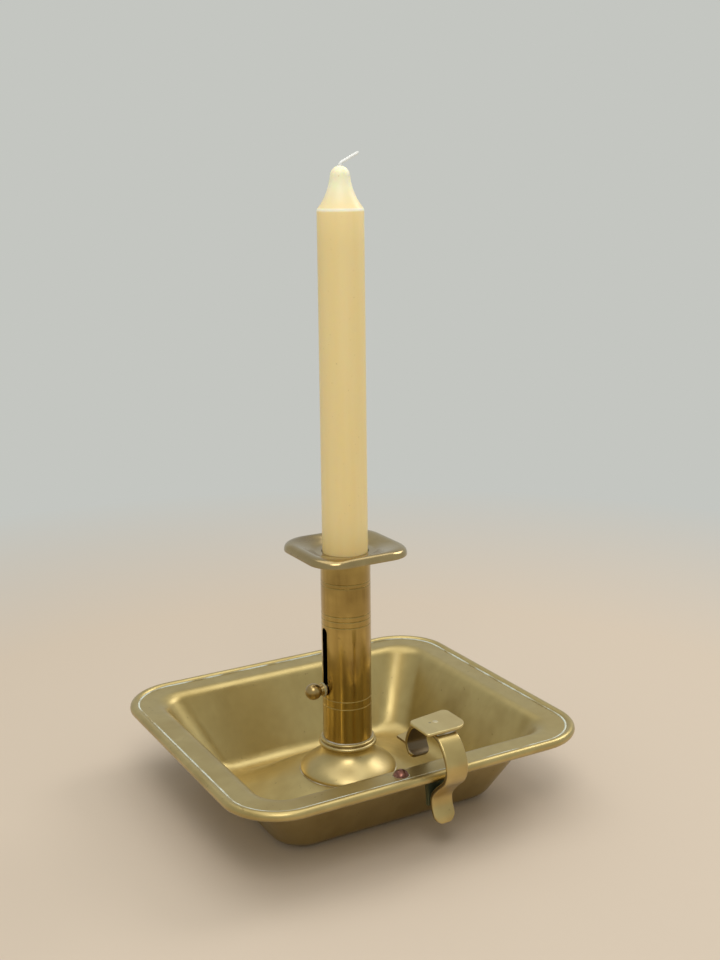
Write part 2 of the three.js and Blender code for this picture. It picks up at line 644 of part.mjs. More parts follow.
// Copper rivets with domed heads on the flange, closed over roves under the bracket.
const roveLow = padLow - ROVE_THICK;
const domeRadius = (RIVET_HEAD_RADIUS ** 2 + RIVET_HEAD_HEIGHT ** 2) / (2 * RIVET_HEAD_HEIGHT);
const domeSpan = THREE.MathUtils.radToDeg(Math.asin(RIVET_HEAD_RADIUS / domeRadius));
const domeCentre = [0, flangeTop + RIVET_HEAD_HEIGHT - domeRadius];
const rivetDome = arc(domeCentre, domeRadius, 90 - domeSpan, 90 - domeSpan / 5, 4);
Object.entries(rivetXs).forEach(([side, x]) => {
  const rivet = turned([
    [0, roveLow - RIVET_TAIL_HEIGHT],
    [RIVET_TAIL_RADIUS * 0.6, roveLow - RIVET_TAIL_HEIGHT],
    [RIVET_TAIL_RADIUS, roveLow],
    [RIVET_RADIUS, roveLow],
    [RIVET_RADIUS, flangeTop],
    ...rivetDome,
    [0, flangeTop + RIVET_HEAD_HEIGHT],
  ], SMALL_STEPS);
  addPiece(`bracket_rivet_${side}`, rivet.translate(x, rivetY, 0), copper);
  const rove = turned(ringProfile([
    [RIVET_RADIUS + CLEARANCE, roveLow],
    [ROVE_RADIUS, roveLow],
    [ROVE_RADIUS, padLow],
    [RIVET_RADIUS + CLEARANCE, padLow],
  ]), SMALL_STEPS);
  addPiece(`rivet_rove_${side}`, rove.translate(x, rivetY, 0), copper);
});

// Candle: a dinner candle that stands on the disc, with a drawn-in tip and a leaning wick.
const candleTop = discTop + CANDLE_LENGTH;
const candleRadius = CANDLE_DIAMETER / 2;
const shoulderRadius = candleRadius - CANDLE_TAPER;
const shoulderZ = candleTop - TIP_LENGTH;
const wickHole = WICK_RADIUS + CLEARANCE;
const tipNarrowing = shoulderRadius - TIP_RADIUS;
const tipRise = TIP_LENGTH - TIP_DOME;
const tip = new THREE.CubicBezierCurve(
  new THREE.Vector2(shoulderRadius, shoulderZ),
  new THREE.Vector2(shoulderRadius - 0.4 * tipNarrowing, shoulderZ + 0.18 * tipRise),
  new THREE.Vector2(TIP_RADIUS + 0.11 * tipNarrowing, shoulderZ + 0.58 * tipRise),
  new THREE.Vector2(TIP_RADIUS, candleTop - TIP_DOME));
const tipDome = arc([0, 0], 1, 15, 65, 4).map(([across, up]) =>
  [TIP_RADIUS * across, candleTop - TIP_DOME * (1 - up)]);
addPiece('candle', turned([
  [0, discTop],
  [candleRadius - CANDLE_CHAMFER, discTop],
  [candleRadius, discTop + CANDLE_CHAMFER],
  ...tip.getPoints(8).map((point) => [point.x, point.y]),
  ...tipDome,
  [wickHole, candleTop],
  [wickHole, candleTop - WICK_DEPTH],
  [0, candleTop - WICK_DEPTH],
]), wax);

const wickLine = new THREE.CatmullRomCurve3([
  [0, CLEARANCE - WICK_DEPTH], [0, -WICK_RADIUS], [0, WICK_RADIUS / 2],
  [0.3 * WICK_LEAN, 0.55 * WICK_RISE], [0.65 * WICK_LEAN, 0.75 * WICK_RISE], [WICK_LEAN, WICK_RISE],
].map(([lean, rise]) => new THREE.Vector3(lean, 0, candleTop + rise)));
const wickSection = arc([0, 0], WICK_RADIUS, 0, 315, 7).map(([x, y]) => new THREE.Vector2(x, y));
const wick = new THREE.ExtrudeGeometry(new THREE.Shape(wickSection),
  { steps: 14, extrudePath: wickLine, bevelEnabled: false });
addPiece('wick', closed(wick), cotton);

// The origin is put under the middle of the whole outline, handle included.
const handleReach = Math.min(...stripOuter.map(([y]) => y));
candlestick.position.y = -(handleReach + TRAY_WIDTH / 2) / 2;

export default candlestick;
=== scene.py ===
from math import acos, asin, atan2, cos, degrees, hypot, pi, radians, sin

import bmesh
import bpy
from mathutils import Matrix, Vector
from mathutils.geometry import interpolate_bezier


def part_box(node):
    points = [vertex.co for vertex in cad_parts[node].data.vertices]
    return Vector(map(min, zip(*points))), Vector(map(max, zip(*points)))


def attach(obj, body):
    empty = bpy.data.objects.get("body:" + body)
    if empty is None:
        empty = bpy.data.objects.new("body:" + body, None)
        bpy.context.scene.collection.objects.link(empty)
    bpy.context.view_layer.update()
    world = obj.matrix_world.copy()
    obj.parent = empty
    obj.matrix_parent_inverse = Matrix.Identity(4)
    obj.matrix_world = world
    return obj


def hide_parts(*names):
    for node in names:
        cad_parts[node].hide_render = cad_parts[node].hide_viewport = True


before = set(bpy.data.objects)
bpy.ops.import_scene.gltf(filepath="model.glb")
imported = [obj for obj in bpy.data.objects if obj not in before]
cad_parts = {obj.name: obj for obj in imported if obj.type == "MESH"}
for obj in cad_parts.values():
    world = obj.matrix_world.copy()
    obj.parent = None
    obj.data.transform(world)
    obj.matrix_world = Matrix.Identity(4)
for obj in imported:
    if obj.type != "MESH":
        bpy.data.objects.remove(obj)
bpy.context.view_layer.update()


# View and stage
# The camera stands in front and to the left, as high as the candle's tip, and looks a little down.
# A pale floor that runs out into the pale backdrop and three soft lamps make a plain studio.
MM = 0.001
stem_low, stem_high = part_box("stem_tube")
stem_y = (stem_low.y + stem_high.y) / 2
view_turn, view_tilt, view_roll = radians(-29.51), radians(13.58), radians(-0.63)
view_place = Vector((-287.0, -522.3, 300.8)) * MM + Vector((0, stem_y, 0))
focal_pixels, picture_height = 1295.5, 960
nearest_seen = 0.01

bpy.ops.object.camera_add(location=view_place)
camera = bpy.context.object
view_matrix = (
    Matrix.Rotation(view_turn, 3, "Z")
    @ Matrix.Rotation(pi / 2 - view_tilt, 3, "X")
    @ Matrix.Rotation(view_roll, 3, "Z")
)
camera.rotation_euler = view_matrix.to_euler()
camera.data.lens = focal_pixels / picture_height * camera.data.sensor_width
camera.data.clip_start = nearest_seen
bpy.context.scene.camera = camera
bpy.context.scene.view_settings.view_transform = "Standard"


def wire(shader_node, **sockets):
    """Fills or links the named inputs of a shader node."""
    for socket_name, value in sockets.items():
        socket = shader_node.inputs[socket_name.replace("_", " ")]
        if isinstance(value, bpy.types.NodeSocket):
            shader_node.id_data.links.new(value, socket)
        else:
            socket.default_value = value
    return shader_node


def node(tree, kind, **sockets):
    """Adds a shader node with its inputs filled or linked."""
    return wire(tree.nodes.new("ShaderNode" + kind), **sockets)


def ramp(value, low, high, low_out=0.0, high_out=1.0):
    """Maps a value from one range to another, and holds it at the ends."""
    mapped = node(value.id_data, "MapRange", Value=value, From_Min=low, From_Max=high)
    wire(mapped, To_Min=low_out, To_Max=high_out)
    return mapped.outputs["Result"]


def new_finish(name):
    """Adds a material, and gives it with its shader and the place on the piece."""
    finish = bpy.data.materials.new(name)
    finish.use_nodes = True
    place = node(finish.node_tree, "TexCoord").outputs["Object"]
    return finish, finish.node_tree.nodes["Principled BSDF"], place


backdrop = (0.552, 0.565, 0.533, 1)
floor_size, floor_colour, floor_roughness = 8, (0.60, 0.50, 0.40, 1), 0.7
fade_start, fade_end = 0.28, 0.62
bpy.ops.mesh.primitive_plane_add(size=floor_size)
floor = bpy.context.object
floor.name = "studio_floor"
floor_paint, floor_shader, floor_place = new_finish("pale_floor")
floor_tree = floor_paint.node_tree
wire(floor_shader, Base_Color=floor_colour, Roughness=floor_roughness)
floor_reach = node(floor_tree, "VectorMath", Vector=floor_place)
floor_reach.operation = "LENGTH"
fade_share = ramp(floor_reach.outputs["Value"], fade_start, fade_end)
floor_fade = node(floor_tree, "MixShader", Fac=fade_share)
floor_glow = node(floor_tree, "Emission", Color=backdrop)
floor_tree.links.new(floor_shader.outputs["BSDF"], floor_fade.inputs[1])
floor_tree.links.new(floor_glow.outputs["Emission"], floor_fade.inputs[2])
wire(floor_tree.nodes["Material Output"], Surface=floor_fade.outputs["Shader"])
floor.data.materials.append(floor_paint)

sky = bpy.data.worlds.new("pale_sky")
sky.use_nodes = True
wire(sky.node_tree.nodes["Background"], Color=backdrop)
bpy.context.scene.world = sky


def soft_lamp(name, place, target, size, watts, colour):
    """Hangs a square soft box at a place and turns it to a target, both in metres."""
    bpy.ops.object.light_add(type="AREA", location=place)
    lamp = bpy.context.object
    lamp.name = name
    lamp.data.shape = "SQUARE"
    lamp.data.size = size
    lamp.data.energy = watts
    lamp.data.color = colour
    lamp.rotation_euler = (Vector(target) - Vector(place)).to_track_quat("-Z", "Y").to_euler()


soft_lamp("top_lamp", (0.05, 0.15, 1.30), (0, 0, 0.08), size=1.3, watts=6, colour=(1.0, 0.98, 0.95))
soft_lamp("front_lamp", (-0.34, -0.60, 0.98), (0, 0, 0.05), size=0.5, watts=3.5, colour=(1.0, 0.97, 0.92))
soft_lamp("side_lamp", (0.95, 0.10, 0.95), (0, 0, 0.08), size=0.5, watts=3.5, colour=(1.0, 0.98, 0.95))


# Tray
# A deep oblong tray pressed from sheet brass: a flat flange, sloped walls and a floor raised under the stem.
# Its edge is rolled over and under round a wire, and a crust of verdigris sits in the crease of the roll.
sheet = 0.9
tray_length, tray_width, tray_height, tray_corner = 183.0, 162.6, 40.0, 27.5
bead_radius, bead_stand = 2.2, 1.2
flange_width, shoulder_radius = 12.6, 5.5
wall_run, floor_fillet, floor_corner = 27.4, 8.0, 13.0
rest_band, dome_rise, seat_radius, screw_hole = 2.2, 9.0, 25.2, 3.3
bead_z = tray_height - bead_radius
flange_z = tray_height - bead_stand
floor_inset = flange_width + wall_run
corner_steps, dome_steps = 14, 10
roll_start = -150
crust_radius, crust_sink = 0.5, 0.4
smooth_angle = radians(32)
same_place, near_place = 0.001 * MM, 0.01 * MM


def noise(place, scale, detail, stretch=(1, 1, 1), twist=(0, 0, 0)):
    """A cloudy pattern, with the scale in spots per metre, drawn out along an axis by a small stretch."""
    mapping = node(place.id_data, "Mapping", Vector=place, Scale=stretch, Rotation=twist)
    cloud = node(place.id_data, "TexNoise", Vector=mapping.outputs["Vector"])
    wire(cloud, Scale=scale, Detail=detail)
    return cloud.outputs["Fac"]


def blend_colour(share, first, second):
    """Mixes two colours, each a plain one or one from another node, by a share of the second."""
    mix = node(share.id_data, "Mix", Factor=share)
    mix.data_type = "RGBA"
    for socket, colour in ((mix.inputs[6], first), (mix.inputs[7], second)):
        if isinstance(colour, bpy.types.NodeSocket):
            share.id_data.links.new(colour, socket)
        else:
            socket.default_value = (*colour, 1)
    return mix.outputs[2]


def bump(height, distance, strength, below=None):
    """A fine relief, laid over another one if there is one below."""
    made = node(height.id_data, "Bump", Height=height, Distance=distance, Strength=strength)
    if below is not None:
        wire(made, Normal=below)
    return made.outputs["Normal"]


def old_brass(
    name, bright, tarnish, tarnish_from, polish, dents,
    streaks=(1, 1, 1), streak_scale=190, streak_share=0.55,
):
    """Brass polished for years: brown tarnish in clouds, wiping streaks, hair scratches and a beaten wave.
    The streaks are a stretch along each axis, and the dents a depth in millimetres."""
    metal, shader, place = new_finish(name)
    streak_colour = [0.55 * b + 0.45 * t for b, t in zip(bright, tarnish)]
    fleck_colour = [0.6 * t for t in tarnish]
    hair_depth = 0.01 * MM
    clouds = noise(place, scale=34, detail=3)
    specks = noise(place, scale=420, detail=1)
    wiping = noise(place, streak_scale, detail=5, stretch=streaks)
    stain = ramp(clouds, low=tarnish_from, high=tarnish_from + 0.26)
    wiped = ramp(wiping, low=0.35, high=0.7, high_out=streak_share)
    fleck = ramp(specks, low=0.74, high=0.79, high_out=0.4)
    colour = blend_colour(stain, bright, tarnish)
    colour = blend_colour(wiped, colour, streak_colour)
    colour = blend_colour(fleck, colour, fleck_colour)
    dull = ramp(clouds, low=0.35, high=0.7, low_out=polish, high_out=polish + 0.16)
    beating = noise(place, scale=42, detail=2)
    lengthwise = noise(place, scale=2400, detail=3, stretch=(1, 0.05, 1), twist=(0, 0, 0.6))
    crosswise = noise(place, scale=2200, detail=3, stretch=(0.05, 1, 1), twist=(0, 0.3, -0.4))
    relief = bump(beating, dents * MM, strength=0.5)
    relief = bump(lengthwise, hair_depth, strength=0.12, below=relief)
    relief = bump(crosswise, hair_depth, strength=0.1, below=relief)
    wire(shader, Metallic=1, Coat_Weight=0.4, Coat_Roughness=0.25)
    wire(shader, Base_Color=colour, Roughness=dull, Normal=relief)
    return metal


def chalky(name, pale, dark, pale_from, roughness, patches=70):
    """A dry crust, pale where it is thick and dark where the metal shows through."""
    crust, shader, place = new_finish(name)
    thick = ramp(noise(place, patches, detail=8), low=pale_from, high=pale_from + 0.16)
    grain = bump(noise(place, scale=2400, detail=4), 0.1 * MM, strength=0.6)
    wire(shader, Base_Color=blend_colour(thick, dark, pale), Roughness=roughness, Normal=grain)
    return crust


def take_all():
    """Selects the whole of the mesh in edit mode."""
    bpy.ops.mesh.select_all(action="SELECT")


def new_plate(name, centre, half_x, half_y):
    """Adds a flat plate as a new object and leaves it in edit mode, all selected."""
    bpy.ops.mesh.primitive_plane_add(size=2)
    plate = bpy.context.object
    plate.name = plate.data.name = name
    bpy.ops.object.mode_set(mode="EDIT")
    bpy.ops.transform.resize(value=(half_x, half_y, 1))
    bpy.ops.transform.translate(value=centre)
    return plate


def select_points(piece, wanted, among=None):
    """Selects the points of the piece in edit mode, or of a few of them, that pass the test."""
    mesh = bmesh.from_edit_mesh(piece.data)
    bpy.ops.mesh.select_all(action="DESELECT")
    for point in among or mesh.verts:
        point.select_set(wanted(point.co))
    mesh.select_flush(True)
    bmesh.update_edit_mesh(piece.data)


def carry_ring(piece, old, new):
    """Draws the selected ring on from one station to the next, a corner at a time.
    A station is (half_x, half_y, corner, z) in millimetres, about the stem."""
    bpy.ops.mesh.extrude_region()
    mesh = bmesh.from_edit_mesh(piece.data)
    ring = [point for point in mesh.verts if point.select]
    bpy.ops.transform.translate(value=(0, 0, (new[3] - old[3]) * MM))
    old_x, old_y = old[0] - old[2], old[1] - old[2]
    shift_x, shift_y = new[0] - new[2] - old_x, new[1] - new[2] - old_y
    swell = new[2] / old[2]
    for side_x, side_y in ((1, 1), (-1, 1), (-1, -1), (1, -1)):
        select_points(piece, lambda place: place.x * side_x > 0 and (place.y - stem_y) * side_y > 0, ring)
        hub = Vector((side_x * old_x * MM, stem_y + side_y * old_y * MM, new[3] * MM))
        bpy.ops.transform.resize(value=(swell, swell, 1), center_override=hub)
        bpy.ops.transform.translate(value=(side_x * shift_x * MM, side_y * shift_y * MM, 0))
    select_points(piece, lambda place: True, ring)


def press_sheet(name, stations):
    """Draws a skin through the stations, from the first ring to the last, and leaves it in edit mode."""
    half_x, half_y, corner, z = stations[0]
    piece = new_plate(name, (0, stem_y, z * MM), half_x * MM, half_y * MM)
    bpy.ops.mesh.bevel(offset=corner * MM, segments=corner_steps, affect="VERTICES")
    take_all()
    bpy.ops.mesh.delete(type="ONLY_FACE")
    take_all()
    for old, new in zip(stations, stations[1:]):
        carry_ring(piece, old, new)
    take_all()
    bpy.ops.mesh.remove_doubles(threshold=same_place)
    return piece


def draw_in(piece, old_radius, new_radius, z):
    """Carries the round inner edge of the sheet level inwards to a smaller hole."""
    edge = old_radius * MM + near_place
    select_points(piece, lambda place: hypot(place.x, place.y - stem_y) < edge)
    bpy.ops.mesh.extrude_region()
    shrink = new_radius / old_radius
    bpy.ops.transform.resize(value=(shrink, shrink, 1), center_override=(0, stem_y, z * MM))
    take_all()


def pick(piece):
    """Selects one piece alone, in object mode."""
    bpy.ops.object.mode_set(mode="OBJECT")
    bpy.ops.object.select_all(action="DESELECT")
    piece.select_set(True)
    bpy.context.view_layer.objects.active = piece


def work_over(piece, kind, **settings):
    """Applies one modifier to the active piece."""
    bpy.ops.object.modifier_add(type=kind)
    modifier = piece.modifiers[-1]
    for setting, value in settings.items():
        setattr(modifier, setting, value)
    bpy.ops.object.modifier_apply(modifier=modifier.name)


def thicken(piece, thickness):
    """Gives the sheet its thickness below the upper face."""
    mesh = bmesh.from_edit_mesh(piece.data)
    bpy.ops.mesh.normals_make_consistent(inside=False)
    if max(mesh.faces, key=lambda face: face.calc_area() * abs(face.normal.z)).normal.z < 0:
        bpy.ops.mesh.flip_normals()
    pick(piece)
    work_over(piece, "SOLIDIFY", thickness=thickness, offset=-1, use_even_offset=True)


def finish_piece(piece, material, body, slot, *nodes, flat=False):
    """Gives a finished piece its smooth shading, material, body and the nodes that it stands for.
    Broad flat faces keep an even shade beside their rounded edges if it is flat."""
    pick(piece)
    bpy.ops.object.shade_smooth_by_angle(angle=smooth_angle)
    if flat:
        work_over(piece, "WEIGHTED_NORMAL", keep_sharp=True)
    piece.data.materials.clear()
    piece.data.materials.append(material)
    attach(piece, body)
    if nodes:
        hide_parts(*nodes)


def arc(centre, radius, start, stop, steps):
    """Points on an arc, from one angle to another in degrees."""
    angles = [radians(start + (stop - start) * i / steps) for i in range(steps + 1)]
    return [(centre[0] + radius * cos(a), centre[1] + radius * sin(a)) for a in angles]


def bead_ring(centre, radius):
    """The small round section of a crust or a line of solder."""
    return arc(centre, radius, 0, 360, steps=8)


def tray_station(inset, z):
    """The ring of the tray at a distance in from its outer edge."""
    wall_share = min(1, max(0, (inset - flange_width) / wall_run))
    wall_corner = (tray_corner - flange_width) * (1 - wall_share) + floor_corner * wall_share
    corner = tray_corner - inset if inset < flange_width else wall_corner
    return (tray_length / 2 - inset, tray_width / 2 - inset, corner, z)


def dome_station(share):
    """From the resting band round the floor to the round seat of the stem."""
    band = tray_station(floor_inset + rest_band, sheet)
    seat = (seat_radius, seat_radius, seat_radius, sheet + dome_rise)
    rise = share - sin(2 * pi * share) / (8 * pi)
    flat = [b + (s - b) * share for b, s in zip(band[:3], seat[:3])]
    return (*flat, band[3] + (seat[3] - band[3]) * rise)


crease_angle = 180 - degrees(asin((flange_z - bead_z) / bead_radius))
roll = arc((0, bead_z), bead_radius, roll_start, crease_angle, steps=20)
bends = floor_fillet + shoulder_radius
wall_rise = flange_z - sheet
wall_lean = degrees(
    atan2(wall_rise - bends, wall_run) + asin(bends / hypot(wall_run, wall_rise - bends))
)
shoulder_hub = (wall_run, flange_z - sheet / 2 - shoulder_radius)
shoulder = arc(shoulder_hub, shoulder_radius + sheet / 2, 90, 90 + wall_lean, steps=7)
fillet_hub = (0, sheet / 2 + floor_fillet)
fillet = arc(fillet_hub, floor_fillet - sheet / 2, wall_lean - 90, -90, steps=9)
tray_stations = [tray_station(bead_radius - out, z) for out, z in roll]
tray_stations += [tray_station(floor_inset - out, z) for out, z in shoulder + fillet]
tray_stations += [dome_station(i / dome_steps) for i in range(dome_steps + 1)]
tray = press_sheet("tray_sheet", tray_stations)
draw_in(tray, seat_radius, screw_hole, sheet + dome_rise)
thicken(tray, sheet * MM)
tray_brass = old_brass(
    "tray_brass", (0.52, 0.405, 0.165), (0.36, 0.265, 0.09), tarnish_from=0.45,
    polish=0.32, streaks=(1, 1, 0.12), dents=0.5,
)
finish_piece(tray, tray_brass, "root", "brass", "tray")

crust_inset = bead_radius - roll[-1][0] + crust_radius * crust_sink
crust_ring = bead_ring((crust_inset, flange_z), crust_radius)
crust = press_sheet("rim_crust", [tray_station(inset, z) for inset, z in crust_ring])
bpy.ops.mesh.normals_make_consistent(inside=False)
verdigris = chalky("verdigris", (0.60, 0.63, 0.55), (0.34, 0.28, 0.14), pale_from=0.40, roughness=0.9)
finish_piece(crust, verdigris, "root", "brass")


def dark_iron(name, colour, rust, polish):
    """Plain iron, dark, with a little brown rust in clouds."""
    metal, shader, place = new_finish(name)
    clouds = noise(place, scale=260, detail=6)
    rusted = ramp(clouds, low=0.45, high=0.7)
    dull = ramp(clouds, low=0.3, high=0.7, low_out=polish, high_out=polish + 0.25)
    grain = bump(noise(place, scale=1800, detail=4), 0.05 * MM, strength=0.5)
    wire(shader, Metallic=1, Base_Color=blend_colour(rusted, colour, rust))
    wire(shader, Roughness=dull, Normal=grain)
    return metal


def dress_nodes(material, *names):
    """Puts the material on nodes that keep their own shape."""
    for name in names:
        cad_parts[name].data.materials.clear()
        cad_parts[name].data.materials.append(material)


iron = dark_iron("dark_iron", (0.16, 0.15, 0.14), (0.12, 0.07, 0.04), polish=0.42)
dress_nodes(iron, "rim_wire")


# Stem foot
# A turned bell of cast brass with a ring moulding, standing on the raised floor and hollow underneath.
# White solder shows where the tube goes into its collar, and dry polish is left round its edge.
foot_radius, foot_edge, foot_height, foot_wall = 23.8, 1.1, 17.1, 2.4
foot_collar, foot_ring_radius, foot_ring_drop, foot_neck_drop = 0.6, 1.3, 2.9, 5.4
edge_round, neck_step, ring_sweep = 0.5, 0.2, 88
lip_inset, lip_gap, lip_radius, lip_drop, lip_sweep = 0.1, 0.15, 0.6, 0.7, 80
edge_pull, neck_pull, bell_points = (0.2, 0.38), (0.12, 0.45), 27
hollow_top, hollow_in, hollow_drop = 1.7, 0.5, 0.8
bore_radius, tube_radius, clearance = 11.4, 12.1, 0.3
collar_bead, collar_bead_out, collar_bead_rise = 0.35, 0.18, 0.05
residue_bead, residue_stand = 0.3, 0.1
seat_z = dome_rise + sheet


def round_edge(radius, z, rounding, steps):
    """The rounded lower edge of a turned piece."""
    return arc((radius - rounding, z + rounding), rounding, -90, 0, steps)


def draw_outline(name, points):
    """Draws a line of points as a new object, one stroke after the other, in edit mode."""
    piece = new_plate(name, (0, 0, 0), MM, MM)
    bpy.ops.mesh.merge(type="CENTER")
    bpy.ops.transform.translate(value=points[0])
    for here, there in zip(points, points[1:]):
        bpy.ops.mesh.extrude_region_move(TRANSFORM_OT_translate={"value": there - here})
    return piece


def turn(name, outline, steps, hub=(0, stem_y / MM, 0), sideways=False):
    """Turns an outline of (radius, along) points in millimetres about an upright axis, or about -X."""
    hub = Vector(hub) * MM
    points = [(-along, 0, radius) if sideways else (radius, 0, along) for radius, along in outline]
    piece = draw_outline(name, [hub + Vector(point) * MM for point in points])
    take_all()
    bpy.ops.mesh.spin(steps=steps, angle=2 * pi, center=hub, axis=(1, 0, 0) if sideways else (0, 0, 1))
    take_all()
    bpy.ops.mesh.remove_doubles(threshold=2 * same_place)
    bpy.ops.mesh.normals_make_consistent(inside=False)
    pick(piece)
    return piece


foot_top = seat_z + foot_height
foot_bore = tube_radius + clearance
collar_radius = foot_bore + foot_collar
neck_z = foot_top - foot_neck_drop
ring_z = foot_top - foot_ring_drop
edge_z = seat_z + foot_edge
lip_hub = collar_radius - lip_inset
bell_run = foot_radius - collar_radius
bell_rise = neck_z - edge_z
bell = interpolate_bezier(
    (foot_radius, edge_z),
    (foot_radius - edge_pull[0] * bell_run, edge_z + edge_pull[1] * bell_rise),
    (collar_radius + neck_pull[0] * bell_run, neck_z - neck_pull[1] * bell_rise),
    (collar_radius, neck_z),
    bell_points,
)
bell_middle = bell[len(bell) // 2]
foot_outline = [
    (foot_radius - foot_wall, seat_z),
    *round_edge(foot_radius, seat_z, edge_round, steps=5),
    *bell[:-1],
    (collar_radius, neck_z + neck_step),
    *arc((collar_radius, ring_z), foot_ring_radius, -ring_sweep, ring_sweep, steps=14),
    (lip_hub, ring_z + foot_ring_radius + lip_gap),
    *arc((lip_hub, foot_top - lip_drop), lip_radius, -lip_sweep, lip_sweep, steps=7),
    (foot_bore, foot_top),
    (foot_bore, neck_z - hollow_top * foot_wall),
    (bell_middle[0] - hollow_in * foot_wall, bell_middle[1] - hollow_drop * foot_wall),
    (foot_radius - foot_wall, seat_z),
]
foot = turn("stem_foot_bell", foot_outline, steps=128)
foot_brass = old_brass(
    "foot_brass", (0.50, 0.39, 0.17), (0.36, 0.265, 0.10), tarnish_from=0.47, polish=0.33, dents=0.2
)
finish_piece(foot, foot_brass, "root", "brass", "stem_foot")

solder_ring = bead_ring((tube_radius + collar_bead_out, foot_top + collar_bead_rise), collar_bead)
solder = turn("collar_solder", solder_ring, steps=96)
solder_grey = chalky("pale_solder", (0.66, 0.65, 0.60), (0.30, 0.24, 0.12), pale_from=0.5, roughness=0.6)
finish_piece(solder, solder_grey, "root", "brass")

residue_ring = bead_ring((foot_radius + residue_stand, seat_z + residue_stand), residue_bead)
residue = turn("foot_residue", residue_ring, steps=128)
polish_crust = chalky("dry_polish", (0.60, 0.57, 0.46), (0.30, 0.22, 0.09), pale_from=0.46, roughness=0.9)
finish_piece(residue, polish_crust, "root", "brass")


# Stem tube
# A drawn brass tube that stands on the tray's floor inside the foot, with turned lines in three groups.
# A slot is cut down its left side for the ejector, and the parts inside the tube are coloured dark as
# painted shade.
stem_top = 121.4
line_depth, line_width = 0.12, 0.42
line_drops = (76.3, 72.4, 34.8, 31.8, 29.3, 15.0, 13.1)
shank_z, shank_radius, travel = 53.7, 2.0, 29.0
slot_radius, slot_depth = shank_radius + clearance, 6.0
tube_outline = [(bore_radius, seat_z), (tube_radius, seat_z)]
for drop in line_drops:
    line_z = stem_top - drop
    tube_outline += [
        (tube_radius, line_z - line_width),
        (tube_radius, line_z - line_width / 2),
        (tube_radius - line_depth, line_z),
        (tube_radius, line_z + line_width / 2),
        (tube_radius, line_z + line_width),
    ]
tube_outline += [(tube_radius, stem_top), (bore_radius, stem_top), (bore_radius, seat_z)]
tube = turn("stem_tube_drawn", tube_outline, steps=128)
bpy.ops.mesh.primitive_cylinder_add(
    vertices=30,
    radius=slot_radius * MM,
    depth=slot_depth * MM,
    location=(-tube_radius * MM, stem_y, shank_z * MM),
    rotation=(0, pi / 2, 0),
)
slot_cutter = bpy.context.object
bpy.ops.object.transform_apply()
bpy.ops.object.mode_set(mode="EDIT")
select_points(slot_cutter, lambda place: place.z > shank_z * MM)
bpy.ops.transform.translate(value=(0, 0, travel * MM))


def cut_away(piece, cutter):
    """Cuts one solid out of another and takes the cutter away."""
    pick(piece)
    work_over(piece, "BOOLEAN", operation="DIFFERENCE", object=cutter)
    bpy.data.objects.remove(cutter)


cut_away(tube, slot_cutter)
tube_brass = old_brass(
    "tube_brass", (0.50, 0.35, 0.10), (0.20, 0.115, 0.02), tarnish_from=0.44,
    polish=0.09, streaks=(1, 1, 0.025), dents=0.1, streak_scale=420, streak_share=0.9,
)
finish_piece(tube, tube_brass, "root", "brass", "stem_tube")


# Stem fixing
# A brass plug is soldered in the tube's lower end, and an iron screw with a washer goes up into it
# and pulls tray, foot and tube together.
# The screw sits in the hollow under the raised floor, so it shows only from beneath.
screw_radius, screw_reach, head_radius, head_height = 3.0, 7.5, 5.5, 3.0
driver_width, driver_depth = 1.2, 1.0
washer_radius, washer_thick, washer_edge = 8.0, 1.0, 0.3
head_edge = 3 * washer_edge
washer_z = dome_rise - washer_thick
head_z = washer_z - head_height
screw_top = seat_z + screw_reach
washer_outline = [
    (screw_hole, dome_rise),
    (screw_hole, washer_z),
    *round_edge(washer_radius, washer_z, washer_edge, steps=4),
    (washer_radius, dome_rise),
    (screw_hole, dome_rise),
]
washer = turn("tie_washer_round", washer_outline, steps=48)
finish_piece(washer, iron, "root", "iron", "tie_washer")

screw_outline = [
    (0, head_z),
    *round_edge(head_radius, head_z, head_edge, steps=6),
    (head_radius, washer_z),
    (screw_radius, washer_z),
    (screw_radius, screw_top),
    (0, screw_top),
]
screw = turn("tie_screw_slotted", screw_outline, steps=48)
bpy.ops.mesh.primitive_cube_add(size=1, location=(0, stem_y, head_z * MM))
driver_slot = bpy.context.object
driver_slot.scale = (4 * head_radius * MM, driver_width * MM, 2 * driver_depth * MM)
bpy.ops.object.transform_apply()
cut_away(screw, driver_slot)
finish_piece(screw, iron, "root", "iron", "tie_screw")

# Painted shade: the plug, the ejector's disc and its leaf sit inside the tube and are coloured dark for the
# shade there
dark_brass = old_brass(
    "dark_brass", (0.34, 0.25, 0.10), (0.14, 0.10, 0.04), tarnish_from=0.42,
    polish=0.38, streaks=(1, 1, 0.06), dents=0.35,
)
dress_nodes(dark_brass, "stem_plug")


# Drip pan
# A square brass dish with rounded corners, soldered on the tube's end to catch wax.
# Its rim rises, rolls over and turns down all round.
pan_half, pan_corner, pan_floor_margin = 25.3, 13.5, 2.0
pan_rim_height, pan_rim_width, pan_roll, pan_bulge = 4.1, 4.2, 3.7, 0.1
crest_in, crest_pulls, roll_pull, floor_pull = 0.75, (0.2, 1.45), 0.35, 0.25
edge_points, dish_points = 13, 15
pan_floor_z = stem_top + sheet
pan_floor_radius = tube_radius + pan_floor_margin
pan_crest = (pan_half - crest_in * pan_rim_width, stem_top + pan_rim_height)


def pan_station(half, z):
    """The ring of the pan at half its width, squarer at the rim and round at the floor."""
    corner = min(half, pan_corner + max(0, pan_half - pan_rim_width - half))
    return (half, half, corner, z)


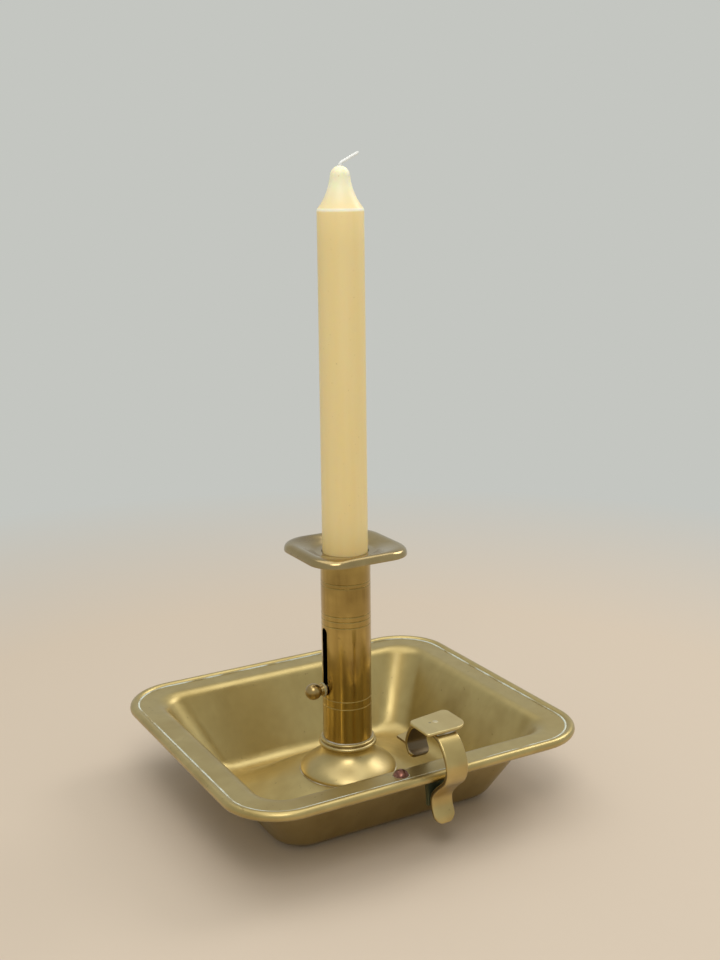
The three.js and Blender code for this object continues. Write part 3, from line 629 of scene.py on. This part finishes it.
pan_edge = interpolate_bezier(
    (pan_half, pan_crest[1] - pan_roll),
    (pan_half + pan_bulge, pan_crest[1] - roll_pull * pan_roll),
    (pan_half - crest_pulls[0] * pan_rim_width, pan_crest[1]),
    pan_crest,
    edge_points,
)
pan_dish = interpolate_bezier(
    pan_crest,
    (pan_half - crest_pulls[1] * pan_rim_width, pan_crest[1]),
    (pan_floor_radius + floor_pull * pan_rim_width, pan_floor_z),
    (pan_floor_radius, pan_floor_z),
    dish_points,
)
pan_stations = [pan_station(half, z) for half, z in pan_edge + pan_dish[1:]]
pan = press_sheet("drip_pan_dish", pan_stations)
draw_in(pan, pan_floor_radius, bore_radius, pan_floor_z)
thicken(pan, sheet * MM)
pan_brass = old_brass(
    "pan_brass", (0.44, 0.33, 0.15), (0.24, 0.165, 0.065), tarnish_from=0.42, polish=0.15, dents=0.25
)
finish_piece(pan, pan_brass, "root", "brass", "drip_pan")


# Ejector
# A disc inside the tube carries the candle, and an iron pin through the slot joins it to a brass ball.
# The thumb pushes the ball, and a bowed leaf under the disc rubs on the bore and holds it where it is put.
knob_radius, knob_neck_length, knob_neck_radius = 4.0, 1.4, 2.8
neck_foot_inset, neck_waist_inset = 0.2, 0.35
collar_thick, knob_collar_radius, collar_edge = 2.0, 3.2, 0.3
groove_depth, groove_half = 0.45, 0.16
collar_crust_radius, collar_crust_sink = 0.55, 0.15
collar_face = tube_radius + clearance
collar_middle = collar_face + collar_thick / 2
knob_face = collar_face + collar_thick
neck_angle = -degrees(acos(knob_neck_radius / knob_radius))
knob_centre = knob_face + knob_neck_length - knob_radius * sin(radians(neck_angle))
shank_hole = shank_radius + clearance
shank_hub = (0, stem_y / MM, shank_z)
knob_outline = [
    (0, knob_centre + clearance),
    (shank_hole, knob_centre + clearance),
    (shank_hole, knob_face),
    (knob_neck_radius - neck_foot_inset, knob_face),
    (knob_neck_radius - neck_waist_inset, knob_face + knob_neck_length / 2),
    *arc((0, knob_centre), knob_radius, neck_angle, 90, steps=22),
]
knob = turn("ejector_ball", knob_outline, steps=64, hub=shank_hub, sideways=True)
knob_brass = old_brass(
    "knob_brass", (0.50, 0.36, 0.14), (0.26, 0.17, 0.06), tarnish_from=0.45, polish=0.2, dents=0.1
)
finish_piece(knob, knob_brass, "ejector", "brass", "ejector_knob")

collar_outline = [
    (shank_hole, collar_face),
    *round_edge(knob_collar_radius, collar_face, collar_edge, steps=4),
    (knob_collar_radius, collar_middle - groove_half),
    (knob_collar_radius - groove_depth, collar_middle),
    (knob_collar_radius, collar_middle + groove_half),
    *arc((knob_collar_radius - collar_edge, knob_face - collar_edge), collar_edge, 0, 90, steps=4),
    (shank_hole, knob_face),
    (shank_hole, collar_face),
]
knob_collar = turn("knob_washer", collar_outline, steps=48, hub=shank_hub, sideways=True)
finish_piece(knob_collar, knob_brass, "ejector", "brass", "knob_collar")

collar_crust_ring = bead_ring((knob_collar_radius - collar_crust_sink, collar_middle), collar_crust_radius)
collar_crust = turn("collar_crust", collar_crust_ring, steps=40, hub=shank_hub, sideways=True)
finish_piece(collar_crust, verdigris, "ejector", "brass")
dress_nodes(iron, "knob_shank", "spring_screw")
# The disc and the leaf take the dark brass of painted shade inside the tube
dress_nodes(dark_brass, "ejector_disc", "ejector_spring")


# Handle strip
# A flat brass strip with rounded edges, bent into an S: its tail hangs under the rim, its middle rises
# outside the tray as a ring, and its inner end curls into a scroll over the flange.
# The scroll's inside and end and the strip's cut edges are darkened as painted shade, but the cut edges keep
# the plain brass where they catch the light, at the tail and on the ring's outer side.
handle_x, strip_width, strip_thick = 5.0, 11.0, 2.2
tail_round, scroll_round, strip_edge = 4.9, 3.2, 0.8
strip_steps, row_gap = 170, 0.12
# Painted shade on the strip: the scroll's inside and end darken between the first two shares, and the cut
# edges take the third amount
scroll_shade_from, scroll_shade_full, edge_shade = 0.55, 0.65, 0.6
# Shares of the strip where the cut edges catch the light and get no painted shade, and where the scroll's
# end face begins
tail_edge_lit, ring_edge_lit, scroll_end = 0.2, (0.42, 0.55), 0.985
edge_facing, inside_facing, end_facing = 0.9, 0.8, -0.5
rim_y = stem_y / MM - tray_width / 2
# Points of the outer face, out from the rim and up from the middle of its roll
handle_path = (
    (0.3, -22.9), (-0.6, -19.4), (-2.7, -14.8), (-2.5, -10.3), (1.5, -5.5),
    (7.4, 0.2), (9.3, 7.2), (6.9, 13.7), (1.0, 19.6), (-8.8, 21.0),
    (-16.8, 20.0), (-22.6, 16.4), (-26.5, 8.4), (-24.9, 3.2), (-21.8, 0.5),
)


def strip_point(share):
    """A point of the strip's outer face, as (y, z) in millimetres, on a smooth line through the path."""
    along = share * (len(handle_path) - 1)
    first = min(int(along), len(handle_path) - 2)
    t = along - first
    picks = [handle_path[min(max(first + k, 0), len(handle_path) - 1)] for k in (-1, 0, 1, 2)]
    weights = (
        -0.5 * t**3 + t**2 - 0.5 * t,
        1.5 * t**3 - 2.5 * t**2 + 1,
        -1.5 * t**3 + 2 * t**2 + 0.5 * t,
        0.5 * t**3 - 0.5 * t**2,
    )
    out, up = (sum(w * p[k] for w, p in zip(weights, picks)) for k in (0, 1))
    return Vector((rim_y - out, bead_z + up))


def strip_normal(share, nearby=0.001):
    """Outwards from the strip's outer face, as (y, z)."""
    ahead = strip_point(min(1, share + nearby)) - strip_point(max(0, share - nearby))
    ahead.normalize()
    return Vector((-ahead.y, ahead.x))


def rounded_half(half, radius, reach):
    """Half the width of a strip with a rounded end, at a distance from the end."""
    if reach >= radius:
        return half
    return half - radius + (radius**2 - (radius - reach) ** 2) ** 0.5


def lay_section(old, new):
    """Carries the selected section on from one row to the next.
    A row is (place, turn about X, half width, half thickness)."""
    swell = new[3] / old[3]
    bpy.ops.transform.translate(value=new[0] - old[0])
    bpy.ops.transform.rotate(value=old[1] - new[1], orient_axis="X", center_override=new[0])
    bpy.ops.transform.resize(value=(new[2] / old[2], swell, swell), center_override=new[0])


strip_shares = [0.0]
for i in range(1, strip_steps + 1):
    next_share = 0.5 - 0.5 * cos(pi * i / strip_steps)
    if (strip_point(next_share) - strip_point(strip_shares[-1])).length > row_gap:
        strip_shares.append(next_share)
strip_shares[-1] = 1.0
strip_line = [strip_point(share) for share in strip_shares]
strip_reach = [0.0]
for here, there in zip(strip_line, strip_line[1:]):
    strip_reach.append(strip_reach[-1] + (there - here).length)
strip_half, thick_half = strip_width / 2, strip_thick / 2
strip_rows = []
for share, row, reach in zip(strip_shares, strip_line, strip_reach):
    left = strip_reach[-1] - reach
    outwards = strip_normal(share)
    row_place = Vector((handle_x, *(row - outwards * thick_half))) * MM
    row_turn = atan2(-outwards.y, -outwards.x)
    row_half = min(rounded_half(strip_half, tail_round, reach), rounded_half(strip_half, scroll_round, left))
    row_thick = rounded_half(thick_half, strip_edge, min(reach, left))
    strip_rows.append((row_place, row_turn, row_half, row_thick))

strip = new_plate("handle_strip_bent", (0, 0, 0), strip_half * MM, thick_half * MM)
bpy.ops.mesh.bevel(offset=strip_edge * MM, segments=4, affect="VERTICES")
take_all()
lay_section((Vector(), 0, strip_half, thick_half), strip_rows[0])
for old, new in zip(strip_rows, strip_rows[1:]):
    bpy.ops.mesh.extrude_region()
    lay_section(old, new)
take_all()
bpy.ops.mesh.normals_make_consistent(inside=False)
pick(strip)


def strip_shade_share(face):
    """How much painted shade a face of the strip gets, by its place along the strip and the way that it
    looks.
    """
    side = Vector((face.center.y, face.center.z)) / MM
    share = strip_shares[min(range(len(strip_line)), key=lambda k: (side - strip_line[k]).length_squared)]
    inwards = -Vector((face.normal.y, face.normal.z)).dot(strip_normal(share))
    if abs(face.normal.x) > edge_facing:
        # The cut edges catch the light at the tail and on the ring's outer side, and get no painted shade
        # there
        edge_lit = share < tail_edge_lit or ring_edge_lit[0] < share < ring_edge_lit[1]
        return 0 if edge_lit else edge_shade
    if inwards > inside_facing or share > scroll_end and inwards > end_facing:
        return min(1, max(0, (share - scroll_shade_from) / (scroll_shade_full - scroll_shade_from)))
    return 0


def paint_shade(metal, share, dark):
    """Lays a dark colour of painted shade over a metal by a share that comes from a node of its own."""
    shader = metal.node_tree.nodes["Principled BSDF"]
    clean = shader.inputs["Base Color"].links[0].from_socket
    wire(shader, Base_Color=blend_colour(share, clean, dark))


def paint_face_shade(piece, shade_share_of, metal, dark):
    """Gives each face of a piece its share of painted shade, and darkens the metal by it."""
    face_shade = piece.data.attributes.new("face_shade", "FLOAT", "FACE")
    for face in piece.data.polygons:
        face_shade.data[face.index].value = shade_share_of(face)
    share = node(metal.node_tree, "Attribute")
    share.attribute_name = face_shade.name
    paint_shade(metal, share.outputs["Fac"], dark)


handle_brass = old_brass(
    "handle_brass", (0.58, 0.445, 0.18), (0.36, 0.25, 0.085), tarnish_from=0.48,
    polish=0.27, streaks=(0.3, 1, 1), dents=0.25,
)
# The dark colour is painted shade on the scroll's inside and end and on the cut edges
paint_face_shade(strip, strip_shade_share, handle_brass, (0.17, 0.125, 0.07))
finish_piece(strip, handle_brass, "root", "brass", "handle_strip", flat=True)


# Thumb plate
# A small brass plate with rounded corners on the ring's crown, where the thumb presses down.
# A rivet through it is filed flush and shows as a pale spot beside a small dent, drawn only as a dark spot
# of painted shade, and a line of solder fills the gap between its front edge and the strip.
plate_length, plate_width, plate_thick, plate_skew, plate_edge = 22.2, 20.0, 1.3, 3.2, 0.5
plate_corners = ((-1, -1, 1.8), (1, -1, 7.0), (1, 1, 3.0), (-1, 1, 3.0))
dent_shift, dent_core, dent_rim = Vector((-3.4, 0.4, 0)), 0.5, 1.1
plate_low, plate_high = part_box("thumb_plate")
plate_centre = (plate_low + plate_high) / 2
plate_place = Vector((plate_centre.x, plate_centre.y, plate_high.z))
plate = new_plate("thumb_plate_cut", plate_place, plate_length / 2 * MM, plate_width / 2 * MM)
select_points(plate, lambda place: place.x < plate_place.x and place.y > plate_place.y)
bpy.ops.transform.translate(value=(0, -plate_skew * MM, 0))
for side_x, side_y, corner in plate_corners:
    corner_y = side_y * plate_width / 2 - (plate_skew if (side_x, side_y) == (-1, 1) else 0)
    corner_place = plate_place + Vector((side_x * plate_length / 2, corner_y, 0)) * MM
    select_points(plate, lambda place: (place - corner_place).length < near_place)
    bpy.ops.mesh.bevel(offset=corner * MM, segments=10, affect="VERTICES")
take_all()
thicken(plate, plate_thick * MM)


def soften(piece, edge):
    """Rounds the sharp edges of the active piece."""
    work_over(piece, "BEVEL", width=edge, segments=3, limit_method="ANGLE", angle_limit=radians(50))


soften(plate, plate_edge * MM)
plate_brass = old_brass(
    "plate_brass", (0.68, 0.545, 0.245), (0.43, 0.315, 0.125), tarnish_from=0.46,
    polish=0.30, streaks=(1, 0.3, 1), dents=0.4,
)
plate_tree = plate_brass.node_tree
# The dent has no shape of its own: its hollow is painted as a dark spot of shade on the plate
dent_reach = node(plate_tree, "VectorMath")
dent_reach.operation = "DISTANCE"
wire(dent_reach, Vector=node(plate_tree, "TexCoord").outputs["Object"])
dent_reach.inputs[1].default_value = plate_centre + dent_shift * MM
dent_shade_share = ramp(dent_reach.outputs["Value"], dent_core * MM, dent_rim * MM, low_out=0.8, high_out=0)
paint_shade(plate_brass, dent_shade_share, (0.10, 0.08, 0.06))
finish_piece(plate, plate_brass, "root", "brass", "thumb_plate", flat=True)

solder_radius, solder_inset, solder_half, solder_end, crown_rise, taper = 0.7, 1.0, 5.2, 0.3, 12.0, 0.8
solder_y = plate_low.y / MM + solder_inset
crown_line = [row for row in strip_line if row.y > bead_z + crown_rise]
solder_z = min(crown_line, key=lambda row: abs(row.x - solder_y)).y + solder_radius
plate_solder_outline = [
    (0, -solder_half),
    (taper * solder_radius, -solder_half + solder_end),
    (solder_radius, 0),
    (taper * solder_radius, solder_half - solder_end),
    (0, solder_half),
]
solder_hub = (handle_x, solder_y, solder_z)
plate_solder = turn("plate_solder", plate_solder_outline, steps=20, hub=solder_hub, sideways=True)
finish_piece(plate_solder, solder_grey, "root", "brass")

plate_rivet_radius, rivet_edge, rivet_shoulder, rivet_crown = 1.5, 0.1, 0.03, 0.05
rivet_low, rivet_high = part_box("plate_rivet")
rivet_foot, rivet_top = rivet_low.z / MM, rivet_high.z / MM
rivet_hub = (handle_x, (rivet_low.y + rivet_high.y) / 2 / MM, 0)
flush_outline = [
    (0, rivet_foot),
    (plate_rivet_radius, rivet_foot),
    (plate_rivet_radius, rivet_top - rivet_edge),
    (taper * plate_rivet_radius, rivet_top + rivet_shoulder),
    (0, rivet_top + rivet_crown),
]
flush_rivet = turn("plate_rivet_flush", flush_outline, steps=32, hub=rivet_hub)
rivet_brass = old_brass(
    "rivet_brass", (0.78, 0.68, 0.44), (0.50, 0.38, 0.18), tarnish_from=0.5, polish=0.28, dents=0.05
)
finish_piece(flush_rivet, rivet_brass, "root", "brass", "plate_rivet")


# Scroll spur
# A short brass wedge brazed on the back of the scroll, its left face filed to a lean above a lower rim that
# is painted dark as shade.
# It runs out to a thin leaf towards the stem, cut away on its right side.
spur_width, spur_root, spur_reach, spur_tip, spur_edge = 9.0, 1.0, 8.6, 1.0, 0.3
spur_top, spur_foot, spur_crest, spur_steps = 0.81, 0.89, 0.01, 12
spur_lean, spur_rim, leaf_share = 0.75, 1.2, 0.4


def off_strip(share, gap):
    """A point at a distance out from the strip's outer face, as (y, z) in millimetres."""
    return strip_point(share) + strip_normal(share) * gap


spur_shares = [spur_top + (spur_foot - spur_top) * i / spur_steps for i in range(spur_steps + 1)]
spur_inner = [off_strip(share, clearance) for share in spur_shares]
spur_back = [off_strip(share, clearance + spur_root) for share in (spur_top + spur_crest, spur_top)]
spur_end = spur_inner[-1]
spur_point = spur_end + Vector((spur_reach, 0))
spur_side = spur_inner + [spur_point, spur_point + Vector((0, spur_tip))] + spur_back
spur_left = handle_x - spur_width / 2
spur_rim_z = spur_end.y + spur_rim
spur = draw_outline("scroll_tongue", [Vector((spur_left, y, z)) * MM for y, z in spur_side])
take_all()
bpy.ops.mesh.edge_face_add()
bpy.ops.mesh.extrude_region_move(TRANSFORM_OT_translate={"value": (spur_width * MM, 0, 0)})
take_all()
bpy.ops.mesh.bisect(plane_co=(0, 0, spur_rim_z * MM), plane_no=(0, 0, 1))
for y, z in spur_side:
    if z > spur_rim_z:
        upright_place = Vector((spur_left, y, z)) * MM
        select_points(spur, lambda place: (place - upright_place).length < same_place)
        bpy.ops.transform.translate(value=((z - spur_rim_z) * spur_lean * MM, 0, 0))
leaf_y = spur_point.x * MM
select_points(spur, lambda place: place.y > leaf_y - near_place)
bpy.ops.transform.resize(
    value=(leaf_share, 1, 1), center_override=(spur_left * MM, leaf_y, spur_point.y * MM)
)
take_all()
bpy.ops.mesh.normals_make_consistent(inside=False)
pick(spur)
soften(spur, spur_edge * MM)
spur_brass = old_brass(
    "spur_brass", (0.74, 0.60, 0.32), (0.54, 0.41, 0.18), tarnish_from=0.5,
    polish=0.36, streaks=(1, 0.3, 1), dents=0.1,
)
# The faces below the lean are darkened as painted shade on the wedge's lower side
paint_face_shade(spur, lambda face: float(face.center.z < spur_rim_z * MM), spur_brass, (0.22, 0.14, 0.05))
finish_piece(spur, spur_brass, "root", "brass", "scroll_spur", flat=True)


# Bracket and rivets
# A brass pad under the flange with a leg behind the strip, dark and green with age.
# Two copper rivets with domed heads go through the flange and are closed over roves beneath,
# and each has a thin crust round its head.
rivet_head_radius, rivet_head_height, rivet_radius, head_step = 3.6, 2.8, 1.4, 0.15
rivet_tail_radius, rivet_tail_height, tail_edge = 2.5, 1.0, 0.9
rove_radius, rove_thick, rove_edge, pad_thick = 3.3, 1.0, 0.25, 1.8
halo_bead, halo_stand = 0.25, 0.05
pad_z = flange_z - sheet - pad_thick
rove_z = pad_z - rove_thick
tail_z = rove_z - rivet_tail_height
rove_hole = rivet_radius + clearance


def old_copper(name, bright, dark, polish):
    """Copper gone plum brown, worn brighter in places."""
    metal, shader, place = new_finish(name)
    clouds = noise(place, scale=480, detail=5)
    darkened = ramp(clouds, low=0.4, high=0.62)
    dull = ramp(clouds, low=0.3, high=0.7, low_out=polish, high_out=polish + 0.2)
    hammering = bump(noise(place, scale=700, detail=3), 0.15 * MM, strength=0.4)
    wire(shader, Metallic=1, Base_Color=blend_colour(darkened, bright, dark))
    wire(shader, Roughness=dull, Normal=hammering)
    return metal


def copy_piece(piece, name, shift):
    """Copies a piece, and moves the copy's own mesh by a shift."""
    pick(piece)
    bpy.ops.object.duplicate(linked=False)
    twin = bpy.context.object
    twin.name = twin.data.name = name
    bpy.ops.object.mode_set(mode="EDIT")
    take_all()
    bpy.ops.transform.translate(value=shift)
    return twin


copper = old_copper("plum_copper", (0.29, 0.135, 0.10), (0.14, 0.06, 0.045), polish=0.22)
rivet_crust = chalky(
    "rivet_crust", (0.55, 0.60, 0.53), (0.25, 0.19, 0.09), pale_from=0.46, roughness=0.9, patches=320
)
dome_radius = (rivet_head_radius**2 + rivet_head_height**2) / (2 * rivet_head_height)
dome_span = degrees(asin(rivet_head_radius / dome_radius))
dome_hub = (0, flange_z + rivet_head_height - dome_radius)
rivet_outline = [
    (0, tail_z),
    *round_edge(rivet_tail_radius, tail_z, tail_edge, steps=5),
    (rivet_tail_radius, rove_z),
    (rivet_radius, rove_z),
    (rivet_radius, flange_z),
    (rivet_head_radius - head_step, flange_z),
    *arc(dome_hub, dome_radius, 90 - dome_span, 90, steps=12),
]
rove_outline = [
    (rove_hole, pad_z),
    (rove_hole, rove_z),
    *round_edge(rove_radius, rove_z, rove_edge, steps=4),
    (rove_radius, pad_z),
    (rove_hole, pad_z),
]
halo_ring = bead_ring((rivet_head_radius + halo_stand, flange_z), halo_bead)
left_low, left_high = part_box("bracket_rivet_left")
right_low, right_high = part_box("bracket_rivet_right")
left_hub = ((left_low.x + left_high.x) / 2 / MM, (left_low.y + left_high.y) / 2 / MM, 0)
rivet_shift = (right_low + right_high - left_low - left_high) / 2
rivet_shapes = (
    ("copper_rivet_left", rivet_outline, 48),
    ("copper_rove_left", rove_outline, 40),
    ("rivet_crust_left", halo_ring, 40),
)
rivet_finishes = (
    (copper, "copper", ["bracket_rivet"]),
    (copper, "copper", ["rivet_rove"]),
    (rivet_crust, "brass", []),
)
left_pieces = [turn(name, outline, steps, left_hub) for name, outline, steps in rivet_shapes]
right_pieces = [copy_piece(piece, piece.name.replace("left", "right"), rivet_shift) for piece in left_pieces]
for side, side_pieces in (("left", left_pieces), ("right", right_pieces)):
    for piece, (finish, slot, stands_for) in zip(side_pieces, rivet_finishes):
        finish_piece(piece, finish, "root", slot, *[f"{node_name}_{side}" for node_name in stands_for])
green_brass = old_brass(
    "green_brass", (0.25, 0.25, 0.14), (0.10, 0.14, 0.095), tarnish_from=0.42, polish=0.45, dents=0.3
)
dress_nodes(green_brass, "handle_bracket")


# Candle
# A pale yellow dinner candle with a drawn-in tip, dipped smooth, with a faint bloom towards the tip.
# It stands on the ejector's disc, well down inside the tube.
candle_low, candle_high = (corner.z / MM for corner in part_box("candle"))
candle_radius, candle_taper, candle_chamfer, chamfer_rise = 11.0, 0.25, 0.6, 1.0
tip_length, tip_radius, tip_dome, wick_radius, wick_depth = 19.0, 4.6, 4.8, 0.8, 6.0
shoulder_gap, body_steps, tip_points = 0.4, 12, 25
shoulder_pull, tip_pull, dome_from, dome_to = (0.4, 0.18), (0.11, 0.58), 6, 72
shoulder_width = candle_radius - candle_taper
shoulder_z = candle_high - tip_length
wick_hole = wick_radius + clearance
tip_narrowing = shoulder_width - tip_radius
tip_rise = tip_length - tip_dome
body_low = candle_low + chamfer_rise
body_rise = shoulder_z - shoulder_gap - body_low
body_shares = [i / body_steps for i in range(body_steps + 1)]
body_side = [(candle_radius - candle_taper * share, body_low + body_rise * share) for share in body_shares]
tip_curve = interpolate_bezier(
    (shoulder_width, shoulder_z),
    (shoulder_width - shoulder_pull[0] * tip_narrowing, shoulder_z + shoulder_pull[1] * tip_rise),
    (tip_radius + tip_pull[0] * tip_narrowing, shoulder_z + tip_pull[1] * tip_rise),
    (tip_radius, candle_high - tip_dome),
    tip_points,
)
unit_dome = arc((0, 0), 1, dome_from, dome_to, steps=11)
dome_curve = [(tip_radius * across, candle_high - tip_dome * (1 - up)) for across, up in unit_dome]
candle_outline = [
    (0, candle_low),
    (candle_radius - candle_chamfer, candle_low),
    *body_side,
    *tip_curve[1:],
    *dome_curve,
    (wick_hole, candle_high),
    (wick_hole, candle_high - wick_depth),
    (0, candle_high - wick_depth),
]
candle = turn("candle_dipped", candle_outline, steps=96)


def dipped_wax(name, body, tip, speck, frost, tip_z):
    """Wax with light sunk into it, paler at the tip, with faint runs down the side and a few specks.
    A line of frost goes round it where the tip begins."""
    wax, shader, place = new_finish(name)
    height = node(wax.node_tree, "SeparateXYZ", Vector=place).outputs["Z"]
    bloom = ramp(height, low=tip_z - 2 * MM, high=tip_z + 10 * MM)
    frosted = ramp(height, low=tip_z - 1.2 * MM, high=tip_z - 0.5 * MM, high_out=0.8)
    frosted = ramp(height, low=tip_z + 0.1 * MM, high=tip_z + 0.7 * MM, low_out=frosted, high_out=0)
    running = noise(place, scale=160, detail=4, stretch=(1, 1, 0.05))
    speckle = noise(place, scale=900, detail=1)
    runs = ramp(running, low=0.4, high=0.75, high_out=0.14)
    specks = ramp(speckle, low=0.76, high=0.79, high_out=0.5)
    colour = blend_colour(bloom, body, tip)
    colour = blend_colour(runs, colour, tip)
    colour = blend_colour(specks, colour, speck)
    colour = blend_colour(frosted, colour, frost)
    ripple = noise(place, scale=60, detail=3, stretch=(1, 1, 0.4))
    grain = noise(place, scale=700, detail=3)
    relief = bump(ripple, 0.25 * MM, strength=0.4)
    relief = bump(grain, 0.03 * MM, strength=0.4, below=relief)
    wire(shader, Base_Color=colour, Roughness=0.42, Normal=relief)
    wire(shader, Subsurface_Weight=0.35, Subsurface_Radius=(0.006, 0.004, 0.0015), Subsurface_Scale=1)
    return wax


wax = dipped_wax(
    "candle_wax", body=(0.86, 0.67, 0.31), tip=(0.95, 0.88, 0.62), speck=(0.55, 0.40, 0.18),
    frost=(0.95, 0.92, 0.80), tip_z=shoulder_z * MM,
)
finish_piece(candle, wax, "candle", "wax", "candle")


# Wick
# Three twisted threads of white cotton, fixed in the middle of the candle when it was dipped.
# They come out of the tip, lean over to the right and fray at the end.
wick_rise, wick_lean, wick_turns, wick_steps = 6.0, 9.0, 5.0, 60
thread_radius, thread_count, thread_swing, swing_lean, swing_rise = 0.58, 3, 0.42, 0.6, 0.7
fibre_radius, fibre_count, fray_back, fray_drop, bend_ease = 0.18, 9, 0.4, 0.15, 0.35
wick_end = (wick_lean, wick_rise - thread_radius)
wick_stops = (
    (0, -wick_depth + clearance), (0, -0.6), (0.2, 0.9), (1.0, 1.5),
    (0.55 * wick_lean, 0.58 * wick_rise), wick_end,
)


def wick_point(share):
    """The wick's middle line, as (lean, rise) in millimetres from the candle's tip."""
    along = share * (len(wick_stops) - 1)
    first = min(int(along), len(wick_stops) - 2)
    t = along - first
    t = t * t * (3 - 2 * t) * bend_ease + t * (1 - bend_ease)
    return Vector(wick_stops[first]).lerp(Vector(wick_stops[first + 1]), t)


def thread(name, points, radius):
    """A round thread along a line of points in millimetres from the candle's tip."""
    pick(draw_outline(name, [wick_hub + point * MM for point in points]))
    bpy.ops.object.convert(target="CURVE")
    piece = bpy.context.object
    piece.data.bevel_depth = radius * MM
    piece.data.bevel_resolution = 2
    piece.data.use_fill_caps = True
    bpy.ops.object.convert(target="MESH")
    return bpy.context.object


wick_hub = Vector((0, stem_y, candle_high * MM))
threads = []
for strand in range(thread_count):
    points = []
    for i in range(wick_steps + 1):
        lean, rise = wick_point(i / wick_steps)
        twist = 2 * pi * (strand / thread_count + wick_turns * i / wick_steps)
        swing = Vector((cos(twist) * swing_lean, sin(twist), cos(twist) * swing_rise)) * thread_swing
        points.append(Vector((lean, 0, rise)) + swing)
    threads.append(thread(f"wick_thread_{strand}", points, thread_radius))
# Each frayed fibre goes its own way, forward of the end and to both sides.
fray_start = Vector((wick_end[0] - fray_back, 0, wick_end[1] - fray_drop))
for fibre in range(fibre_count):
    spread = Vector((0.7 + 0.5 * sin(fibre * 2.1), 0.9 * cos(fibre * 1.7), 0.55 * sin(fibre * 1.3 + 0.6)))
    points = [fray_start + spread * reach for reach in (0, 0.5, 1.0)]
    threads.append(thread(f"wick_fibre_{fibre}", points, fibre_radius))
pick(threads[0])
for piece in threads:
    piece.select_set(True)
bpy.ops.object.join()
wick = bpy.context.object
wick.name = wick.data.name = "wick_cotton"


def spun_cotton(name, pale, shade):
    """Loose white cotton with a fine twist."""
    cotton, shader, place = new_finish(name)
    fuzz = noise(place, scale=2600, detail=4, stretch=(1, 1, 0.4))
    colour = blend_colour(ramp(fuzz, low=0.4, high=0.65), shade, pale)
    wire(shader, Base_Color=colour, Normal=bump(fuzz, 0.1 * MM, strength=0.7))
    wire(shader, Roughness=0.95, Sheen_Weight=0.3)
    return cotton


cotton = spun_cotton("wick_cotton", (0.93, 0.93, 0.92), (0.80, 0.80, 0.78))
finish_piece(wick, cotton, "candle", "cotton", "wick")
